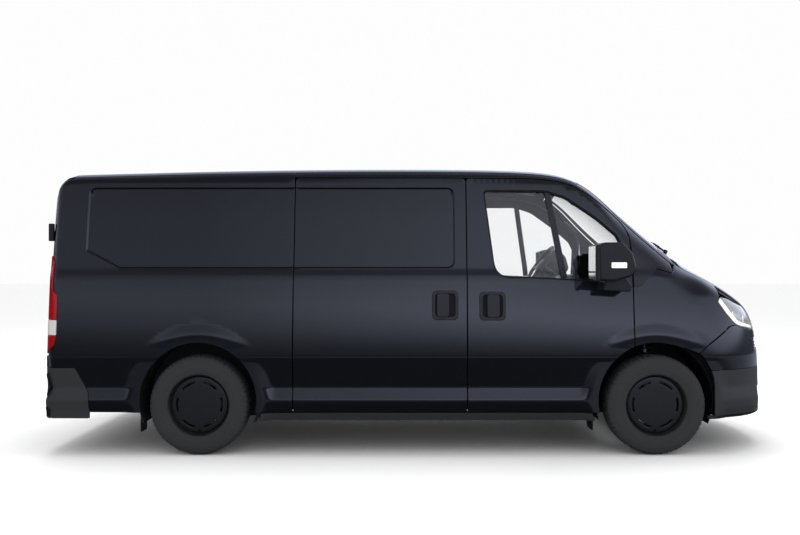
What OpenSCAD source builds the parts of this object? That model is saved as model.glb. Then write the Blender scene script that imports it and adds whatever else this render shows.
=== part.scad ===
// Panel van: a mid-size, low-roof van with one sliding side door and two rear doors.
// X points to the front, Y to the left, Z up. The origin is on the ground, under the
// middle of the overall length and width. All sizes are in millimetres.

/* [Body] */
// Overall length, bumper to bumper
body_length = 5050; // [4700:10:6100]
// Width over the side crease, without mirrors
body_width = 1976; // [1800:2:2400]
// Height of the roof at its crown
roof_height = 1963; // [1700:1:2400]
// Height of the bottom edge of the sills
sill_bottom = 225; // [180:1:300]
// Height of the crease along the sides
crease_height = 655; // [560:1:780]
// Height of the waistline under the windows
waist_height = 1200; // [1000:1:1440]

/* [Panels] */
// Thickness of a side wall with its inner skin
wall = 45; // [30:1:60]
// Thickness of a door with its inner trim
door_thick = 55; // [40:1:70]
// Thickness of the roof with its lining
roof_thick = 32; // [20:1:50]
// Gap between a door and the body around it
shut_gap = 6; // [5:0.5:10]
// Thickness of the window glass
glass_thick = 5; // [3:0.5:8]
// Depth of the pressed panels in the cargo sides
press_depth = 9; // [4:1:16]
// Thickness of the sheet metal lip behind which a front door turns
lip_thick = 2.5; // [1.5:0.5:4]

/* [Wheels] */
// Distance between the axles
wheelbase = 3050; // [2850:10:3700]
// Distance between the middles of the left and right tyres
track = 1735; // [1680:5:1780]
// Front axle to front bumper
front_overhang = 925; // [860:5:1000]
// Outer radius of a tyre
tyre_radius = 332; // [270:1:400]
// Width of a tyre
tyre_width = 215; // [175:5:245]
// Radius of the rim's bead seat
rim_radius = 203; // [165:1:250]
// Room between a tyre and the edge of its wheel arch
arch_room = 56; // [45:1:90]
// Largest steering angle of a front wheel, in degrees
steer_angle = 35; // [20:1:40]

/* [Doors] */
// Length of a front door
front_door_length = 1109; // [900:1:1340]
// Length of the sliding door
sliding_door_length = 1157; // [960:1:1400]
// Front bumper to the front edge of the front door
door_setback = 1072; // [1000:1:1150]
// Share of the width between the rear pillars that the rear doors fill
rear_door_share = 0.84; // [0.7:0.01:0.88]

/* [Hidden] */
$fn = 64;

fit = 0.05;                                  // running clearance of a pin in its bore
seam = 2;                                    // gap between two fixed panels
nose_x = body_length / 2;
tail_x = -body_length / 2;
half_width = body_width / 2;
front_axle_x = nose_x - front_overhang;
rear_axle_x = front_axle_x - wheelbase;
wheel_y = track / 2;
arch_lift = 30;                              // the arches' centre above the axles
arch_radius = tyre_radius + arch_room;
door_front_x = nose_x - door_setback;
door_rear_x = door_front_x - front_door_length;
slider_front_x = door_rear_x - shut_gap;
slider_rear_x = slider_front_x - sliding_door_length;
door_bottom = sill_bottom + 60;

// ---- shape of the body -----------------------------------------------------------------

nose_depth = 560;                            // length over which the nose rounds into the sides
tail_depth = 100;                            // the same at the tail
tail_radius = 150;                           // radius of the roof's rear edge in side view
tail_face_x = tail_x + 19;                   // the rear doors' outer face
screen_x = nose_x - 1400;                    // where the roof turns into the windscreen
cowl_x = nose_x - 620;                       // where the windscreen turns into the bonnet
bonnet_tip_x = nose_x - 85;

// A ramp that is 0 far below t = 0 and t far above it, rounded over r.
function ramp(t, r) = (t + sqrt(t * t + r * r)) / 2;

// A smooth step from 0 to 1 around t = 0.
function step(t, r) = 1 / (1 + exp(-t / r));

// Side profile on the centre line, before it is set to the roof's height.
function profile(x) =
    let (drop = min(1, max(0, (tail_face_x + tail_radius - x) / tail_radius)))
    0.030 * x - 0.026 * ramp(x - nose_x + 3425, 900)
    - 0.90 * ramp(x - screen_x, 210) + 0.345 * ramp(x - cowl_x, 90)
    - 0.90 * ramp(x - bonnet_tip_x, 50) - tail_radius * (1 - sqrt(1 - drop * drop));
function top_z(x) = roof_height + profile(x) - profile(0);

function front_x(z) = nose_x + 5 - 0.20 * ramp(z - crease_height + 15, 220);
function rear_x(z) = tail_face_x + 0.012 * ramp(z - crease_height - 345, 500);

// Height over which the top rounds into the side.
function crown(x) = 105 + 150 * step(x - screen_x - 205, 70) - 110 * step(x - cowl_x - 25, 50);

// Half width of the straight middle of the body.
function side_w(z) = half_width
    - 0.085 * ramp(z - crease_height, 15) - 0.13 * ramp(crease_height - z, 15)
    + 0.36 * ramp(crease_height - 205 - z, 12) - 0.40 * ramp(crease_height - 290 - z, 12)
    - 0.35 * ramp(crease_height - 365 - z, 10)
    - 0.30 * ramp(z - waist_height + 10, 14) + 0.30 * ramp(z - waist_height - 45, 14)
    - 0.055 * ramp(z - waist_height - 45, 60) - 0.08 * ramp(z - waist_height - 450, 90);

function taper(x, z) = 0.07 * ramp(x - nose_x + 1025, 500) + 0.012 * ramp(tail_x + 1025 - x, 300)
    + 0.10 * ramp(z - 1000, 200) * ramp(x - nose_x + 1625, 700) / 1000;

// How much of the width is left at share t of the rounding.
function rounding(t, q) = let (c = 1 - min(1, max(0, t))) pow(1 - c * c, 1 / q);
top_q = 4;
nose_q = 2.9;
tail_q = 8;

function steepness(x) = let (s = (top_z(x + 1) - top_z(x - 1)) / 2) sqrt(1 + s * s);

// Half width of the body's outer skin at a place in the side view.
function half_y(x, z) = (side_w(z) - taper(x, z))
    * rounding((top_z(x) - z) / steepness(x) / crown(x), top_q)
    * rounding((front_x(z) - x) / nose_depth, nose_q)
    * rounding((x - rear_x(z)) / tail_depth, tail_q);

// Ways to walk over the skin. The right side has negative Y.
function side_point(x, z) = [x, -half_y(x, z), z];
function top_drop(x, u) = crown(x) * steepness(x) * (1 - cos(asin(pow(abs(u), top_q / 2))));
function top_point(x, u) = let (z = top_z(x) - top_drop(x, u)) [x, -sign(u) * half_y(x, z), z];

// Station s walks from the middle of the tail, along the right side, to the middle of the
// nose: a millimetre each way on the side, and a small angle at each end.
nose_start_x = nose_x - nose_depth;
nose_turn = 0.15;
tail_start_x = tail_face_x + tail_depth;
tail_turn = 0.6;
function end_point(x, a, z) = [x, -sign(a) * half_y(x, z), z];
function body_point(s, z) =
    s > nose_start_x ? let (a = 90 - nose_turn * (s - nose_start_x))
        end_point(nose_start_x + (front_x(z) - nose_start_x) * cos(a), a, z)
    : s < tail_start_x ? let (a = 90 - tail_turn * (tail_start_x - s))
        end_point(tail_start_x + (rear_x(z) - tail_start_x) * cos(a), a, z)
    : side_point(s, z);
nose_end_s = nose_start_x + 90 / nose_turn;
tail_end_s = tail_start_x - 90 / tail_turn;

// Station on the tail at which the skin has share u of its width.
function tail_s(u) = tail_start_x - (90 - asin(pow(u, tail_q / 2))) / tail_turn;

function unit(v) = v / norm(v);
function normal(point, a, b, da, db) =
    unit(cross(point(a + da, b) - point(a - da, b), point(a, b + db) - point(a, b - db)));

// ---- panels ----------------------------------------------------------------------------

// A closed solid between two grids of points of the same size.
module slab(outer, inner) {
    n = len(outer);
    m = len(outer[0]);
    half = n * m;
    function at(i, j) = i * m + j;
    function quad(a, b, c, d) = [[a, c, b], [a, d, c]];
    skins = [for (i = [0:n - 2]) for (j = [0:m - 2])
        each concat(quad(at(i, j), at(i + 1, j), at(i + 1, j + 1), at(i, j + 1)),
            quad(half + at(i, j), half + at(i, j + 1), half + at(i + 1, j + 1), half + at(i + 1, j)))];
    ends_a = [for (j = [0:m - 2]) each concat(
        quad(at(0, j), at(0, j + 1), half + at(0, j + 1), half + at(0, j)),
        quad(at(n - 1, j + 1), at(n - 1, j), half + at(n - 1, j), half + at(n - 1, j + 1)))];
    ends_b = [for (i = [0:n - 2]) each concat(
        quad(at(i + 1, 0), at(i, 0), half + at(i, 0), half + at(i + 1, 0)),
        quad(at(i, m - 1), at(i + 1, m - 1), half + at(i + 1, m - 1), half + at(i, m - 1)))];
    polyhedron(points = concat([for (row = outer) each row], [for (row = inner) each row]),
        faces = concat(skins, ends_a, ends_b), convexity = 8);
}

// A panel of the skin: rows(a) lists the second coordinate at each first coordinate a.
// sunk is how far its outer face lies under the skin, and turn is 1 or -1 to face outwards.
module panel(point, stations, rows, thick, sunk = 0, da = 1, db = 1, turn = 1, press = undef) {
    function n(a, b) = turn * normal(point, a, b, da, db);
    function depth(a, b) = sunk + (is_undef(press) ? 0 : press(a, b));
    outer = [for (a = stations) [for (b = rows(a)) point(a, b) - depth(a, b) * n(a, b)]];
    function deep(a) = is_num(thick) ? thick : thick(a);
    inner = [for (a = stations) [for (b = rows(a)) point(a, b) - (depth(a, b) + deep(a)) * n(a, b)]];
    if (turn > 0) slab(outer, inner);
    else slab([for (i = [len(outer) - 1:-1:0]) outer[i]], [for (i = [len(inner) - 1:-1:0]) inner[i]]);
}

function spread(a, b, n) = [for (i = [0:n]) a + (b - a) * i / n];
function spread_list(knots, per) =
    concat([for (k = [0:len(knots) - 2]) each [for (i = [0:per - 1])
        knots[k] + (knots[k + 1] - knots[k]) * i / per]], [knots[len(knots) - 1]]);

// Straight lines through points [x, z], for edges seen from the side.
function along(line, x) = lookup(x, line);

// ---- edges of the openings, in side view -------------------------------------------------

roof_edge = 0.93;                            // share of the width where roof and sides meet
screen_edge = 0.88;                          // the same for the windscreen
door_top = roof_height - 101;
screen_head_x = nose_x - 1398;               // the windscreen's upper edge
screen_foot_x = nose_x - 745;                // its lower edge
bonnet_rear_x = nose_x - 690;
bonnet_front_x = nose_x - 76;
wing_rear_x = door_front_x + shut_gap;

// Top edge of the front door, and of the frame around it.
door_top_line = [[door_rear_x - 100, door_top], [nose_x - 1750, door_top - 3],
    [nose_x - 1552, door_top - 20], [nose_x - 1452, door_top - 50], [nose_x - 1354, door_top - 108],
    [nose_x - 1252, door_top - 181], [nose_x - 1157, door_top - 262],
    [nose_x - 1093, door_top - 338], [door_front_x, door_top - 400]];
function door_line(x) = lookup(x, door_top_line);

window_top = door_top - 83;
window_low = waist_height - 20;
// Outline of the front door's window, from its rear bottom corner.
window_outline = [
    [door_rear_x + 182, window_low + 150], [door_rear_x + 130, window_top - 60],
    [door_rear_x + 152, window_top], [nose_x - 1710, window_top - 2],
    [nose_x - 1570, window_top - 17], [nose_x - 1479, window_top - 63],
    [nose_x - 1297, window_top - 188], [nose_x - 1190, window_top - 274],
    [nose_x - 1145, window_top - 340], [nose_x - 1130, window_top - 420],
    [nose_x - 1130, window_low - 22], [nose_x - 1353, window_low - 20],
    [door_rear_x + 400, window_low + 14], [door_rear_x + 307, window_low + 29],
    [door_rear_x + 228, window_low + 75]];

// The bonnet seen from above: half its width along its length.
bonnet_half = [[bonnet_rear_x, 708], [nose_x - 560, 716], [nose_x - 400, 700],
    [nose_x - 300, 672], [nose_x - 210, 612], [nose_x - 150, 520], [nose_x - 105, 360],
    [bonnet_front_x - 4, 180], [bonnet_front_x, 0]];

// ---- cutters -------------------------------------------------------------------------------

// A prism across the vehicle's right side, from its outline [x, z] in side view.
module side_prism(outline, depth = half_width + 200, from_y = 0) {
    translate([0, from_y, 0]) rotate([90, 0, 0]) linear_extrude(height = depth) polygon(outline);
}

module arch_cut(axle_x) {
    translate([axle_x, -wheel_y + 180, tyre_radius + arch_lift]) rotate([90, 0, 0])
        cylinder(r = arch_radius, h = 500, $fn = 180);
}

// The front arch is squarer towards the bumper.
module front_arch_cut() {
    z = tyre_radius + arch_lift;
    arch_cut(front_axle_x);
    side_prism([[front_axle_x, 0], [front_axle_x, z + arch_radius], [front_axle_x + 60, z + arch_radius - 5],
        [front_axle_x + 296, z + arch_radius - 75], [front_axle_x + 372, z + 198],
        [front_axle_x + arch_radius, z + 120], [front_axle_x + arch_radius, 0]], 500, -wheel_y + 180);
}

// A plan outline of the bonnet, grown by a gap.
module bonnet_plan(grow) {
    right = [for (p = bonnet_half) [p[0] + (p[0] == bonnet_rear_x ? -grow : grow), -p[1] - (p[1] > 0 ? grow : 0)]];
    left = [for (i = [len(bonnet_half) - 2:-1:0]) [right[i][0], -right[i][1]]];
    translate([0, 0, crease_height + 100]) linear_extrude(height = 900) polygon(concat(right, left));
}

module left_and_right() {
    children();
    mirror([0, 1, 0]) children();
}

// ---- frame and underbody -----------------------------------------------------------------

floor_top = 545;
floor_thick = 25;
cab_floor_top = 500;
inner_half = half_width - 85;
cab_half = half_width - door_thick - 75;
house_y = 640;                               // inner face of the rear wheelhouses
house_wall = 6;
rail_y = 480;
rail_width = 70;
rail_height = 100;
rail_top = cab_floor_top - floor_thick - seam;
eye_radius = 7;                              // tapped hole of the towing eye's M16 thread
eye_depth = 40;
bulkhead_x = door_rear_x - 90;
toe_x = front_axle_x - arch_radius - 45;
toe_half = wheel_y - 317;                    // half the width between the steered wheels

module floor() {
    color("dimgray") difference() {
        union() {
            translate([tail_x + 95, -inner_half, floor_top - floor_thick])
                cube([bulkhead_x + 20 - tail_x - 95, 2 * inner_half, floor_thick]);
            translate([bulkhead_x + 10, -cab_half, cab_floor_top - floor_thick])
                cube([toe_x - bulkhead_x - 10, 2 * cab_half, floor_thick]);
            translate([bulkhead_x + 8, -inner_half, cab_floor_top - floor_thick])
                cube([12, 2 * inner_half, floor_top - cab_floor_top + floor_thick]);
        }
        left_and_right() translate([rear_axle_x - arch_radius - 10, -inner_half - 1, 0])
            cube([2 * arch_radius + 20, inner_half - house_y + 11, floor_top + 100]);
    }
}

// Box sections under the sides, between the wheel arches.
module sills() {
    x0 = rear_axle_x + arch_radius + 30;
    x1 = front_axle_x - arch_radius - 30;
    y = half_width - 62;
    color("dimgray") left_and_right() translate([x0, 0, 0]) rotate([90, 0, 90])
        linear_extrude(height = x1 - x0) polygon([[-y + 36, sill_bottom], [-y + 8, sill_bottom + 22],
            [-y, door_bottom - shut_gap], [-y + 30, door_bottom - shut_gap],
            [-y + 75, door_bottom + 25], [-y + 75, cab_floor_top - floor_thick - seam],
            [-y + 155, cab_floor_top - floor_thick - seam], [-y + 155, sill_bottom]]);
}

module chassis_rails() {
    color("dimgray") {
        left_and_right()
            translate([tail_x + 100, -rail_y - rail_width / 2, rail_top - rail_height])
                cube([nose_x - 230 - tail_x - 100, rail_width, rail_height]);
        for (x = [tail_x + 110, rear_axle_x + 520, front_axle_x - 900])
            translate([x, -rail_y, rail_top - rail_height + 20]) cube([60, 2 * rail_y, 60]);
        difference() {
            translate([nose_x - 290, -rail_y, rail_top - rail_height + 20]) cube([60, 2 * rail_y, 60]);
            translate([nose_x - 230 - eye_depth, -300, rail_top - 50]) rotate([0, 90, 0])
                cylinder(r = eye_radius, h = eye_depth + 10);
        }
    }
}

// The tunnels over the rear wheels, open to the outside.
module wheelhouses() {
    outer_y = half_width - wall - 34;
    color("black") left_and_right() intersection() {
        translate([rear_axle_x, -house_y, tyre_radius + arch_lift]) rotate([90, 0, 0]) difference() {
            cylinder(r = arch_radius + 8 + house_wall, h = outer_y - house_y);
            translate([0, 0, house_wall]) cylinder(r = arch_radius + 8, h = outer_y);
        }
        translate([rear_axle_x - 600, -half_width, tyre_radius + arch_lift + 10])
            cube([1200, half_width, 900]);
    }
}

// ---- fixed body panels ---------------------------------------------------------------------

function roof_line(x) = top_z(x) - top_drop(x, roof_edge) - seam;
press_low = waist_height + 60;
press_high = roof_height - 172;
press_rear_x = tail_x + 305;
edge = 14;                                   // width of a pressed panel's sloping edge

function pressed(x, z, x0, x1) =
    x >= x0 && x <= x1 && z >= press_low + edge && z <= press_high - edge ? press_depth : 0;

side_rows = concat([door_bottom, crease_height - 290, crease_height - 205, crease_height,
    waist_height - 10, waist_height + 45, press_low, press_low + edge],
    spread(press_low + edge + 150, press_high - edge, 2), [press_high]);

function side_top(x) = top_z(x) - top_drop(x, x < screen_head_x ? roof_edge : screen_edge) - 3 * seam;

// The rear face by its own y and z, found by halving the space between two guesses of x.
function tail_x_at(y, z, low, high, n) = let (mid = (low + high) / 2)
    n == 0 ? mid
    : top_z(mid) > z && half_y(mid, z) > abs(y) ? tail_x_at(y, z, low, mid, n - 1)
    : tail_x_at(y, z, mid, high, n - 1);
function tail_point(y, z) = [tail_x_at(y, z, tail_face_x - 20, tail_x + 400, 26), y, z];

// Height of the roof's rear edge at share u of its width.
roof_rear_x = tail_face_x + 32;
function roof_rear_z(u) = top_z(roof_rear_x) - top_drop(roof_rear_x, u);

corner_share = 0.93;                         // where the rear face turns into the side
corner_s = tail_s(corner_share);
function corner_k(s) = corner_share - (corner_s - s) / 1000;
function wall_point(s, z) = s < corner_s ? tail_point(-corner_k(s) * side_w(z), z) : body_point(s, z);

// The whole side above the sills, from the rear door's frame to the windscreen's foot.
module side_wall(press_end) {
    panel(function(s, z) wall_point(s, z),
        concat([for (k = [rear_door_share + 0.007, 0.89]) corner_s - 1000 * (corner_share - k)],
            [corner_s + 1, tail_s(0.96), tail_start_x - 20, tail_start_x + 10,
            tail_start_x + 60, press_rear_x, press_rear_x + edge], spread(press_rear_x + 220, press_end, 7),
            [press_end + edge], spread(press_end + 200, nose_x - 1500, 5),
            spread(nose_x - 1420, screen_foot_x - 30, 6)),
        function(s) let (high = s < corner_s ? roof_rear_z(corner_k(s)) - 8 : side_top(body_point(s, waist_height)[0]))
            s > nose_x - 1450 ? spread(waist_height + 60, high, len(side_rows) + 1)
            : concat(side_rows, [min(door_top - 20, (press_high + high) / 2), high]),
        function(s) s < tail_start_x ? 18 : s > nose_x - 1450 ? wall * 0.6 : wall,
        press = function(s, z) pressed(s, z, press_rear_x + edge, press_end));
}

// Outline of a front door, grown by a gap, down to the sill.
function door_outline(grow) = concat([[door_rear_x - grow, 0], [door_rear_x - grow, door_top + grow]],
    [for (i = [1:len(door_top_line) - 2]) door_top_line[i] + [grow * 0.7, grow]],
    [[door_front_x + grow, door_top - 400 + grow * 2], [door_front_x + grow, 0]]);

module side_panel(with_slider) {
    foot_z = waist_height + 90;
    difference() {
        side_wall(with_slider ? slider_rear_x - 60 : slider_front_x - 77 - edge);
        arch_cut(rear_axle_x);
        side_prism(bumper_corner(seam));
        side_prism(door_outline(shut_gap));
        if (with_slider) side_prism([[slider_rear_x - shut_gap, 0], [door_rear_x, 0],
            [door_rear_x, door_top + shut_gap], [slider_rear_x - shut_gap, door_top + shut_gap]]);
        side_prism([[door_front_x - 30, 0], [nose_x, 0], [nose_x, foot_z - 40],
            [door_front_x + shut_gap, foot_z], [door_front_x - 30, foot_z]]);
    }
}

module side_panel_right() { color("#16171c") side_panel(true); }
module side_panel_left() { color("#16171c") mirror([0, 1, 0]) side_panel(false); }

// The sliding door, shut, with its pressed panel.
module sliding_door() {
    press_x1 = slider_front_x - 77;
    color("#16171c") difference() {
        panel(function(x, z) side_point(x, z), concat(spread(slider_rear_x, press_x1 - edge, 6),
            [press_x1, slider_front_x]), function(x) concat(side_rows, [door_top]), wall,
            press = function(x, z) pressed(x, z, slider_rear_x, press_x1 - edge));
        arch_cut(rear_axle_x);
    }
}

module roof() {
    color("#101114") panel(function(x, u) top_point(x, u),
        concat([roof_rear_x, tail_face_x + 60, tail_face_x + 110], spread(tail_x + 250, nose_x - 1700, 6),
            [nose_x - 1600, nose_x - 1500, screen_head_x - 4]),
        function(x) [for (u = [-roof_edge, -0.85, -0.7, -0.45, 0, 0.45, 0.7, 0.85, roof_edge]) u],
        roof_thick, db = 0.05, turn = -1);
}

module windscreen() {
    color("#8a9a9c") panel(function(x, u) top_point(x, u), spread(screen_head_x, screen_foot_x, 5),
        function(x) [for (u = [-screen_edge, -0.7, -0.4, 0, 0.4, 0.7, screen_edge]) u],
        glass_thick, db = 0.05, turn = -1);
}

// The plastic tray between the windscreen and the bonnet.
module cowl() {
    color("#202226") difference() {
        panel(function(x, u) top_point(x, u), spread(screen_foot_x + seam, bonnet_rear_x - 12, 1),
            function(x) [for (u = [-0.86, -0.5, 0, 0.5, 0.86]) u],
            30, sunk = 12, db = 0.05, turn = -1);
        bonnet_plan(11);
    }
}

module bonnet() {
    color("#16171c") intersection() {
        panel(function(x, u) top_point(x, u), concat(spread(bonnet_rear_x, nose_x - 250, 5),
            [nose_x - 190, nose_x - 140, bonnet_front_x + 1]),
            function(x) [for (u = [-0.955, -0.9, -0.78, -0.5, 0, 0.5, 0.78, 0.9, 0.955]) u],
            20, db = 0.03, turn = -1);
        bonnet_plan(0);
    }
}

lamp_low = [[nose_x - 501, 1024], [nose_x - 394, 866], [nose_x - 210, 816], [nose_x - 60, 812],
    [nose_x + 60, 812]];
lamp_high = [[nose_x - 501, 1026], [nose_x - 468, 1045], [nose_x - 360, 1000],
    [nose_x - 176, 925], [nose_x - 60, 900], [nose_x + 60, 890]];
lamp_end_s = nose_x - 80;

// The lamp's part of the skin, grown by a gap.
module lamp_skin(grow, thick, sunk) {
    s0 = nose_x - 499 - grow;
    panel(function(s, z) body_point(s, z), concat([s0], spread(nose_x - 468, nose_x - 394, 1),
        spread(nose_x - 320, lamp_end_s + grow, 4)), function(s) spread(
        lookup(s, lamp_low) - grow, lookup(s, lamp_high) + grow, 2), thick, sunk = sunk);
}

module headlamps() {
    color("silver") left_and_right() difference() {
        lamp_skin(0, 60, 1);
        bonnet_plan(shut_gap);
    }
}

seam_line = [[nose_x - 441, 855], [nose_x - 640, 665]];
// Everything in front of the seam between a wing and the nose.
module nose_zone(grow) {
    side_prism([[nose_x + 50, 0], [nose_x + 50, 1100], [nose_x - 394 - grow, 1100],
        [nose_x - 394 - grow, 900], [seam_line[0][0] - grow, 855], [seam_line[1][0] - grow, 665],
        [seam_line[1][0] - grow, 0]]);
}

bumper_top = crease_height - 95;

module wing() {
    pocket = 30;
    pocket_top = waist_height + 30;
    difference() {
        panel(function(s, z) body_point(s, z), concat([wing_rear_x, wing_rear_x + pocket],
            spread(wing_rear_x + 120, nose_start_x, 4), spread(nose_start_x + 60, nose_x - 350, 3)),
            function(s) let (high = min(waist_height + 80, top_z(s) - top_drop(s, 0.95))) concat(
                [crease_height - 60, crease_height], spread(crease_height + 150, high - 60, 3),
                [high]), wall);
        front_arch_cut();
        bonnet_plan(shut_gap);
        nose_zone(0);
        lamp_skin(shut_gap / 2, 90, -20);
        // Room behind the lip for the door's front edge.
        translate([wing_rear_x - 5, 0, crease_height - 200]) linear_extrude(height = 1000)
            polygon([[0, -half_width + 90], [pocket, -half_width + 90],
                [pocket, -half_y(wing_rear_x + pocket, crease_height) + lip_thick],
                [0, -half_y(wing_rear_x, crease_height) + lip_thick]]);
    }
}

module front_wing_right() { color("#16171c") wing(); }
module front_wing_left() { color("#16171c") mirror([0, 1, 0]) wing(); }

module nose_panel() {
    color("#16171c") difference() {
        left_and_right() intersection() {
            panel(function(s, z) body_point(s, z), concat(spread(nose_x - 660, nose_start_x, 1),
                spread(nose_start_x + 60, nose_start_x + 420, 4), [nose_start_x + 520, nose_end_s]),
                function(s) concat([bumper_top + seam, crease_height], spread(crease_height + 90,
                    lookup(s, [[nose_x - 400, 960], [nose_x - 170, 930], [nose_x, 926]]), 2)), 30);
            nose_zone(-seam);
        }
        left_and_right() front_arch_cut();
        bonnet_plan(shut_gap);
        left_and_right() lamp_skin(shut_gap / 2, 90, -20);
        translate([nose_x - 200, -560, crease_height + 25]) cube([300, 1120, 85]);
    }
}

module front_bumper() {
    color("#26282b") {
        difference() {
            left_and_right() panel(function(s, z) body_point(s, z), concat(
                spread(front_axle_x + 250, nose_start_x, 1), spread(nose_start_x + 60,
                nose_start_x + 420, 4), [nose_start_x + 520, nose_end_s]),
                function(s) [sill_bottom + 10, sill_bottom + 90, sill_bottom + 200, bumper_top], 35);
            left_and_right() front_arch_cut();
            translate([nose_x - 200, -430, sill_bottom + 90]) cube([300, 860, 110]);
        }
        // Grille bars behind the two openings.
        for (z = [sill_bottom + 115, sill_bottom + 145, sill_bottom + 175])
            translate([nose_x - 150, -445, z]) cube([20, 890, 8]);
        for (z = [crease_height + 45, crease_height + 75])
            translate([nose_x - 110, -555, z]) cube([20, 1110, 8]);
        for (y = [-440, 0, 430]) translate([nose_x - 150, y, sill_bottom + 60])
            cube([20, 10, 400]);
    }
}

rear_sill = floor_top - 48;                  // bottom edge of the rear doors
bumper_corner_top = crease_height - 74;
// Side view outline of the rear bumper's corner, grown by a gap.
function bumper_corner(grow) = [[tail_x - 50, 0], [tail_x - 50, bumper_corner_top + grow],
    [tail_x + 253 + grow, bumper_corner_top + grow], [tail_x + 339 + grow, bumper_corner_top - 166],
    [tail_x + 346 + grow, bumper_corner_top - 286], [tail_x + 346 + grow, 0]];

module rear_bumper() {
    stations = concat([for (u = [0.3, 0.6, 0.8, 0.92, 0.97]) tail_s(u)], spread(tail_start_x + 5, tail_x + 400, 2));
    right = [for (s = stations) let (p = body_point(s, crease_height - 200)) 
        [p[0] - 20 * max(0, min(1, (tail_start_x - s) / 60)), p[1] - 4]];
    left = [for (i = [len(right) - 1:-1:0]) [right[i][0], -right[i][1]]];
    step_y = rear_door_share * half_width + 6;
    color("#26282b") intersection() {
        difference() {
            translate([0, 0, sill_bottom + 18])
                linear_extrude(height = bumper_corner_top - sill_bottom - 18) difference() {
                    polygon(concat(left, right));
                    translate([tail_x + 88, -half_width + 72]) square([600, 2 * half_width - 144]);
                }
            translate([tail_x - 10, -step_y, rear_sill - shut_gap]) cube([300, 2 * step_y, 400]);
            left_and_right() arch_cut(rear_axle_x);
        }
        side_prism(bumper_corner(0), 2 * half_width + 200, half_width + 100);
    }
}

module tail_lamps() {
    color("darkred") left_and_right() panel(function(s, z) body_point(s, z),
        [for (u = [0.885, 0.93, 0.97, 0.99]) tail_s(u)],
        function(s) [crease_height + 20, waist_height - 10, waist_height + 45, waist_height + 130],
        5, sunk = -7);
}

// ---- doors -----------------------------------------------------------------------------------

module front_door() {
    difference() {
        panel(function(x, z) side_point(x, z), concat(spread(door_rear_x, nose_x - 1750, 2),
            spread(nose_x - 1650, door_front_x, 6)), function(x) concat(
            [door_bottom, crease_height - 290, crease_height - 205, crease_height,
                waist_height - 10, waist_height + 45], spread(waist_height + 160,
                max(waist_height + 180, door_line(x)), 2)), door_thick);
        side_prism(window_outline);
        front_arch_cut();
    }
}

module front_door_right() { color("#16171c") front_door(); }
module front_door_left() { color("#16171c") mirror([0, 1, 0]) front_door(); }

module door_glass() {
    intersection() {
        panel(function(x, z) side_point(x, z), spread(door_rear_x + 125, nose_x - 1128, 3),
            function(x) spread(window_low - 25, window_top + 2, 3), glass_thick, sunk = 16);
        side_prism([for (p = window_outline) [p[0], p[1]]]);
    }
}

module door_glass_right() { color("#8a9a9c") door_glass(); }
module door_glass_left() { color("#8a9a9c") mirror([0, 1, 0]) door_glass(); }

mirror_x = nose_x - 1390;
module door_mirror() {
    translate([mirror_x + 20, -half_width - 262, waist_height - 56]) cube([150, 200, 273]);
    translate([mirror_x + 170, -half_width - 262, waist_height]) cube([70, 180, 200]);
    panel(function(x, z) side_point(x, z), [mirror_x + 90, mirror_x + 215],
        function(x) [waist_height - 110, waist_height - 42], 169.5, sunk = -170);
}

module mirror_right() { color("#202226") door_mirror(); }
module mirror_left() { color("#202226") mirror([0, 1, 0]) door_mirror(); }

rear_gap = 10;                               // gap between the two rear doors
rear_door_thick = 45;
hinge_y = rear_door_share * half_width;

// Place k = 0 is at the vehicle's middle and k = 1 at the hinges.
function rear_door_y(k, z) = -rear_gap / 2 - k * (rear_door_share * side_w(z) - 4 - rear_gap / 2);
function rear_door_top(k) = roof_rear_z(k * (rear_door_share + 0.02)) - 20
    - 70 * max(0, k - 0.55);

module rear_door() {
    color("#16171c") panel(function(k, z) tail_point(rear_door_y(k, z), z), [0, 0.3, 0.55, 0.78, 0.92, 1],
        function(k) concat([rear_sill, crease_height, waist_height - 10, waist_height + 45],
        spread(waist_height + 250, rear_door_top(k), 2)),
        function(k) k > 0.7 ? 20 : rear_door_thick, da = 0.01);
}

module rear_door_right() { rear_door(); }
module rear_door_left() { mirror([0, 1, 0]) rear_door(); }

// ---- cab -------------------------------------------------------------------------------------

// Half the width between the side walls' inner faces at the bulkhead.
function room_y(z) = half_y(bulkhead_x, z) - wall - press_depth - 5;

module bulkhead() {
    heights = [floor_top + 2 * seam, crease_height, waist_height - 10, waist_height + 45, press_high, door_top];
    right = concat([for (z = heights) [(z == door_top ? 30 : 0) - room_y(z), z]],
        [[110 - room_y(door_top), door_top + 12]]);
    left = [for (i = [len(right) - 1:-1:0]) [-right[i][0], right[i][1]]];
    color("gray") translate([bulkhead_x - 30, 0, 0]) rotate([90, 0, 90]) linear_extrude(height = 25)
        polygon(concat(right, left));
}

// Uprights between the side doors and in front of the front doors, and the firewall.
module pillars() {
    post = half_width - door_thick - 104;
    house_top = tyre_radius + arch_lift + arch_radius + 12;
    heights = [floor_top + 2 * seam, crease_height, waist_height - 10, waist_height + 45, door_top - 45];
    color("dimgray") {
        left_and_right() {
            translate([bulkhead_x + 5, 0, 0]) rotate([90, 0, 90]) linear_extrude(height = 60)
                polygon(concat([for (z = heights) [-room_y(z) - 3, z]],
                    [for (i = [len(heights) - 1:-1:0]) [60 - room_y(heights[i]), heights[i]]]));
            translate([door_front_x - 80, -post, house_top])
                cube([60, 60, waist_height - house_top - 20]);
        }
        translate([door_front_x - 60, 0, 0]) rotate([90, 0, 90]) linear_extrude(height = 12)
            polygon([[-toe_half, cab_floor_top + seam], [-toe_half, house_top - 20], [-post + 8, house_top],
                [-post + 8, waist_height - 20], [post - 8, waist_height - 20], [post - 8, house_top],
                [toe_half, house_top - 20], [toe_half, cab_floor_top + seam]]);
    }
}

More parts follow.
